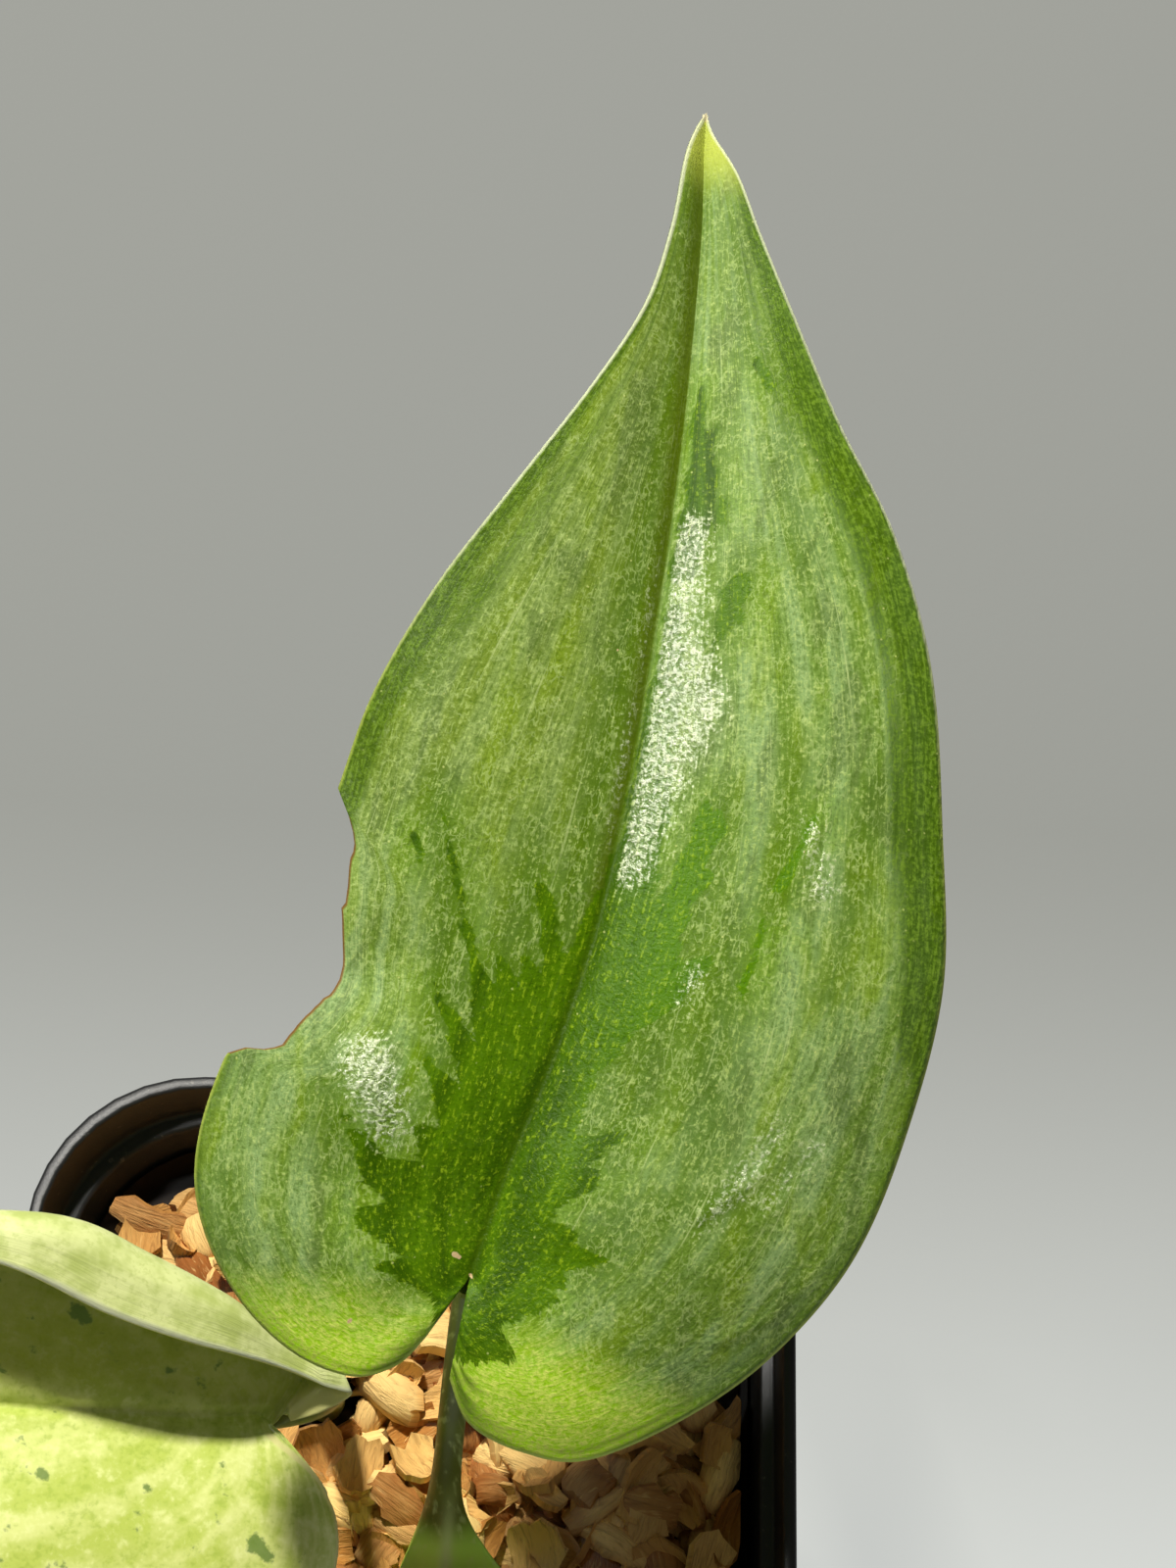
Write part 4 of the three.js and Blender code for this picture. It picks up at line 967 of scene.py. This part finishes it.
colour = skin.paint(
    sage,
    # the lobes' foot: yellow-green with painted light
    (skin.value("foot"), lobe_green_and_light),
    # painted shade left of the midrib
    (fold_shade, srgb(82, 100, 6)),
    (skin.step(in_band, -1.0, 1.2, 0.0, 0.85), band_green),
    (skin.step(in_feather, -0.14, 0.14, 0.0, 0.96), green),
    (skin.step(along, 103.5, 111.0, 0.0, 0.85), srgb(192, 202, 84)),
    (skin.step(along, 112.6, 113.6), srgb(214, 150, 104)),
    (in_dots, srgb(206, 216, 130)),
    (skin.step(margin, 0.36, 0.1, 0.0, 0.7), edge_colour),
    (skin.step(skin.value("bite"), 0.35, 0.1), srgb(128, 96, 52)),
    (in_rib, srgb(56, 84, 2)),
    (skin.step(skin.value("crumb"), -0.06, 0.04), srgb(214, 186, 140)),
    # painted highlight: the pale glints
    (in_glint, srgb(236, 244, 214)),
)
skin.finish(Base_Color=colour, Specular_IOR_Level=skin.step(in_wax_and_glints, 0.0, 1.0, 0.07, 1.0),
            Roughness=skin.step(in_wax_and_glints, 0.0, 1.0, 0.33, 0.2), Specular_Tint=(1.0, 1.0, 0.88, 1))
pebbles = skin.relief(granules, 0.00026, skin.step(in_wax_and_glints, 0.0, 1.0, 0.35, 1.0))
dimples = skin.relief(mottle, 0.0002, 0.35, pebbles)
skin.relief(fleece, 0.0001, 0.4, dimples)
upper_blade = finished("upper_leaf_blade", upper_mesh, skin.material)
upper_underside = underside_material("upper_blade_underside", srgb(104, 138, 58), srgb(140, 168, 92))
give_thickness(upper_blade, upper_underside)
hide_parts("upper_blade")


# Side leaf stalk: a plain round stalk of waxy green, without the upper one's wings. It grows out of the
# buried stem and ends just under the side blade's notch.
side_line = [Vector((-10, 10, 62.5)), Vector((-8, 9, 86)), Vector((-1.5, 1.5, 99)), side_leaf.stalk_end]
side_stalk_mesh = round_rod(32, 60)
for vertex in side_stalk_mesh.verts:
    u = vertex.co.z + 0.5
    point, heading = line_point(side_line, u)
    right = Vector((0, 1, 0)).cross(heading).normalized()
    front = heading.cross(right)
    radius = mix_values(STALK_FOOT_RADIUS, STALK_RADIUS, smooth_step(u * 1.6))
    place = point + (right * vertex.co.x + front * vertex.co.y) * radius
    if u > 0.999:
        height = (place - side_leaf.stalk_end).dot(side_leaf.up)
        place -= heading * (height / heading.dot(side_leaf.up))
    vertex.co = place * MM
bmesh.ops.recalc_face_normals(side_stalk_mesh, faces=list(side_stalk_mesh.faces))
side_skin = stalk_material("side_stalk_skin", srgb(96, 104, 40), srgb(128, 134, 60), srgb(160, 160, 96),
                           srgb(140, 146, 70))
side_stalk = finished("side_stalk", side_stalk_mesh, side_skin)
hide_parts("side_petiole")


# Side blade: the smaller, paler leaf, rolled up along its far margin, pale yellow-green with fine streaks
# and scattered blue-green flecks. It grows from its stalk at the notch and reaches out to the left.
side_leaf.rib = [
    (-1.2, -0.4), (-0.6, -0.1), (-0.3, 0.2), (0, 0.8), (0, 1.5), (-0.1, 2.5), (-0.2, 4), (-0.3, 6.5),
    (-0.3, 10), (-0.1, 15), (0.3, 23), (0.7, 35), (1, 52), (0.4, 71), (0, 88),
]
side_leaf.margin = {
    -1: [
        (-2.2, 0), (-6.5, -5.6), (-8, -6.6), (-10, -7.4), (-13.5, -7.6), (-17.5, -6.5), (-22, -3),
        (-25.5, 5.5), (-27, 18), (-26, 31), (-22.5, 45), (-17.5, 57.5), (-10.5, 71), (-4.5, 81.5), (0, 88),
    ],
    1: [
        (1.1, -2.1), (4.5, -4.3), (8.2, -6.1), (10.7, -6.8), (10.9, -5.5), (11, -3.5), (13, 0.3), (18.5, 8),
        (23.5, 18.5), (27, 29), (24, 45), (18.5, 57.5), (11, 71), (4.5, 81.5), (0, 88),
    ],
}
side_leaf.section = {
    -1: [(0, 0), (0.2, 0.075), (0.4, 0.12), (0.6, 0.13), (0.8, 0.1), (1, 0.02)],
    1: [
        (0, 0), (0.28, 0.14), (0.56, 0.28), (0.64, 0.34), (0.72, 0.42), (0.81, 0.485), (0.9, 0.5), (1, 0.505),
    ],
}
# The far half is rolled up and over towards the other half
side_leaf.curl = [
    (0, 0), (0.28, 0.035), (0.56, 0.075), (0.64, 0.105), (0.72, 0.185), (0.81, 0.33), (0.9, 0.51), (1, 0.71),
]
side_leaf.tip_section = {
    -1: [(0, 0), (0.2, 0.1), (0.4, 0.18), (0.6, 0.23), (0.8, 0.25), (1, 0.25)],
    1: [(0, 0), (0.2, 0.14), (0.4, 0.27), (0.6, 0.35), (0.8, 0.38), (1, 0.38)],
}
side_leaf.tip_from = 0.5
side_leaf.bow = 0.12
side_leaf.arch = lambda along: 0.1 * along - 0.0019 * along * along
side_leaf.bite = None


def side_details(flat, rib, margin, rows):
    """Small heights on the side blade: the midrib's groove and a slight wave."""
    groove = -0.3 * np.exp(-((rib / 0.5) ** 2)) + 0.12 * np.exp(-(((rib - 1.2) / 0.5) ** 2))
    return groove + 0.15 * np.sin(rows * 30) * np.clip(rib / 8, 0, 1)


# Blue-green flecks in the side blade's skin, as strokes
SIDE_FLECKS = [
    [(-6.0, 22.6, 0.5), (-6.5, 22.0, 0.35)], [(-5.9, 24.0, 0.2), (-5.6, 24.6, 0.1)],
    [(-7.3, 12.4, 0.35), (-7.9, 12.0, 0.2)], [(-9.4, 13.4, 0.3), (-9.9, 13.0, 0.15)],
    [(-12.4, 1.6, 0.9), (-13.6, 0.4, 0.8)], [(-7.8, 4.7, 0.25), (-8.2, 4.5, 0.15)],
    [(-12.7, 7.9, 0.35), (-13.3, 7.5, 0.2)], [(-9.8, 5.6, 0.15), (-10.4, 5.4, 0.15)],
    [(-3.0, 24.5, 0.3), (-3.3, 24.1, 0.2)], [(9.6, 20.4, 0.9), (8.8, 19.2, 0.5)],
    [(4.6, 11.0, 0.4), (4.2, 10.4, 0.3)], [(7.0, 10.6, 0.3), (6.4, 10.2, 0.2)],
    [(3.2, 7.4, 0.4), (2.8, 7.0, 0.3)], [(5.2, 16.2, 0.35), (4.6, 15.8, 0.2)],
    [(23.9, 24.4, 0.5), (23.4, 22.8, 0.3)],
]


def side_paint(flat, margin):
    """How deep places lie in the side blade's flecks, with small ones scattered among the large."""
    draw = random.Random(8)
    flecks = list(SIDE_FLECKS)
    for _ in range(90):
        x, y = draw.uniform(-25, 22), draw.uniform(-5, 80)
        size = draw.uniform(0.12, 0.36)
        end = (x + draw.uniform(-0.8, 0.8), y + draw.uniform(0.2, 1.2), size * 0.4)
        flecks.append([(x, y, size), end])
    return {"fleck": stroke_depth(flat, flecks)}


side_mesh = blade_mesh(side_leaf, 96, 280, side_details, side_paint)
turn_faces_up(side_mesh)

skin = Skin("side_blade_skin")
place = skin.place()
granules = skin.grain(place, 1500.0, 2.0, 0.6)
mottle = skin.grain(place, 380.0, 3.0, 0.6)
long_streaks = skin.grain(vein_place(skin, 17.0, 3.0, 7.0), 1.0, 3.0)
speckle = skin.mixture(granules, mottle)
in_fleck = skin.step(skin.sum(skin.value("fleck"), skin.swing(speckle, 3.0)), -0.1, 0.4)
streaked = skin.step(skin.mixture(long_streaks, mottle, 0.6), 0.4, 0.62)
pale = skin.paint(
    skin.blend(streaked, srgb(188, 204, 94), srgb(218, 226, 140)),
    (skin.step(speckle, 0.5, 0.68, 0.0, 0.6), srgb(232, 238, 164)),
    (skin.step(speckle, 0.48, 0.34, 0.0, 0.45), srgb(150, 176, 58)),
    # painted shade: the far, rolled half darker olive, as under its own roll
    (skin.step(skin.value("share"), 0.02, 0.14, 0.0, 0.55), srgb(140, 146, 8)),
    (skin.product(in_fleck, 0.8), srgb(74, 112, 40)),
    # the pale margin, its cream tint partly painted light where the edge at the beak is lit
    (skin.step(skin.value("margin"), 0.5, 0.15, 0.0, 0.8), srgb(222, 216, 150)),
)
skin.finish(Base_Color=pale, Roughness=0.4, Specular_Tint=(1.0, 1.0, 0.7, 1))
skin.relief(long_streaks, 0.0003, 0.15, skin.relief(speckle, 0.00016))
side_blade = finished("side_leaf_blade", side_mesh, skin.material)
side_underside = underside_material("side_blade_underside", srgb(184, 198, 110), srgb(222, 230, 158))
give_thickness(side_blade, side_underside)
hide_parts("side_blade")
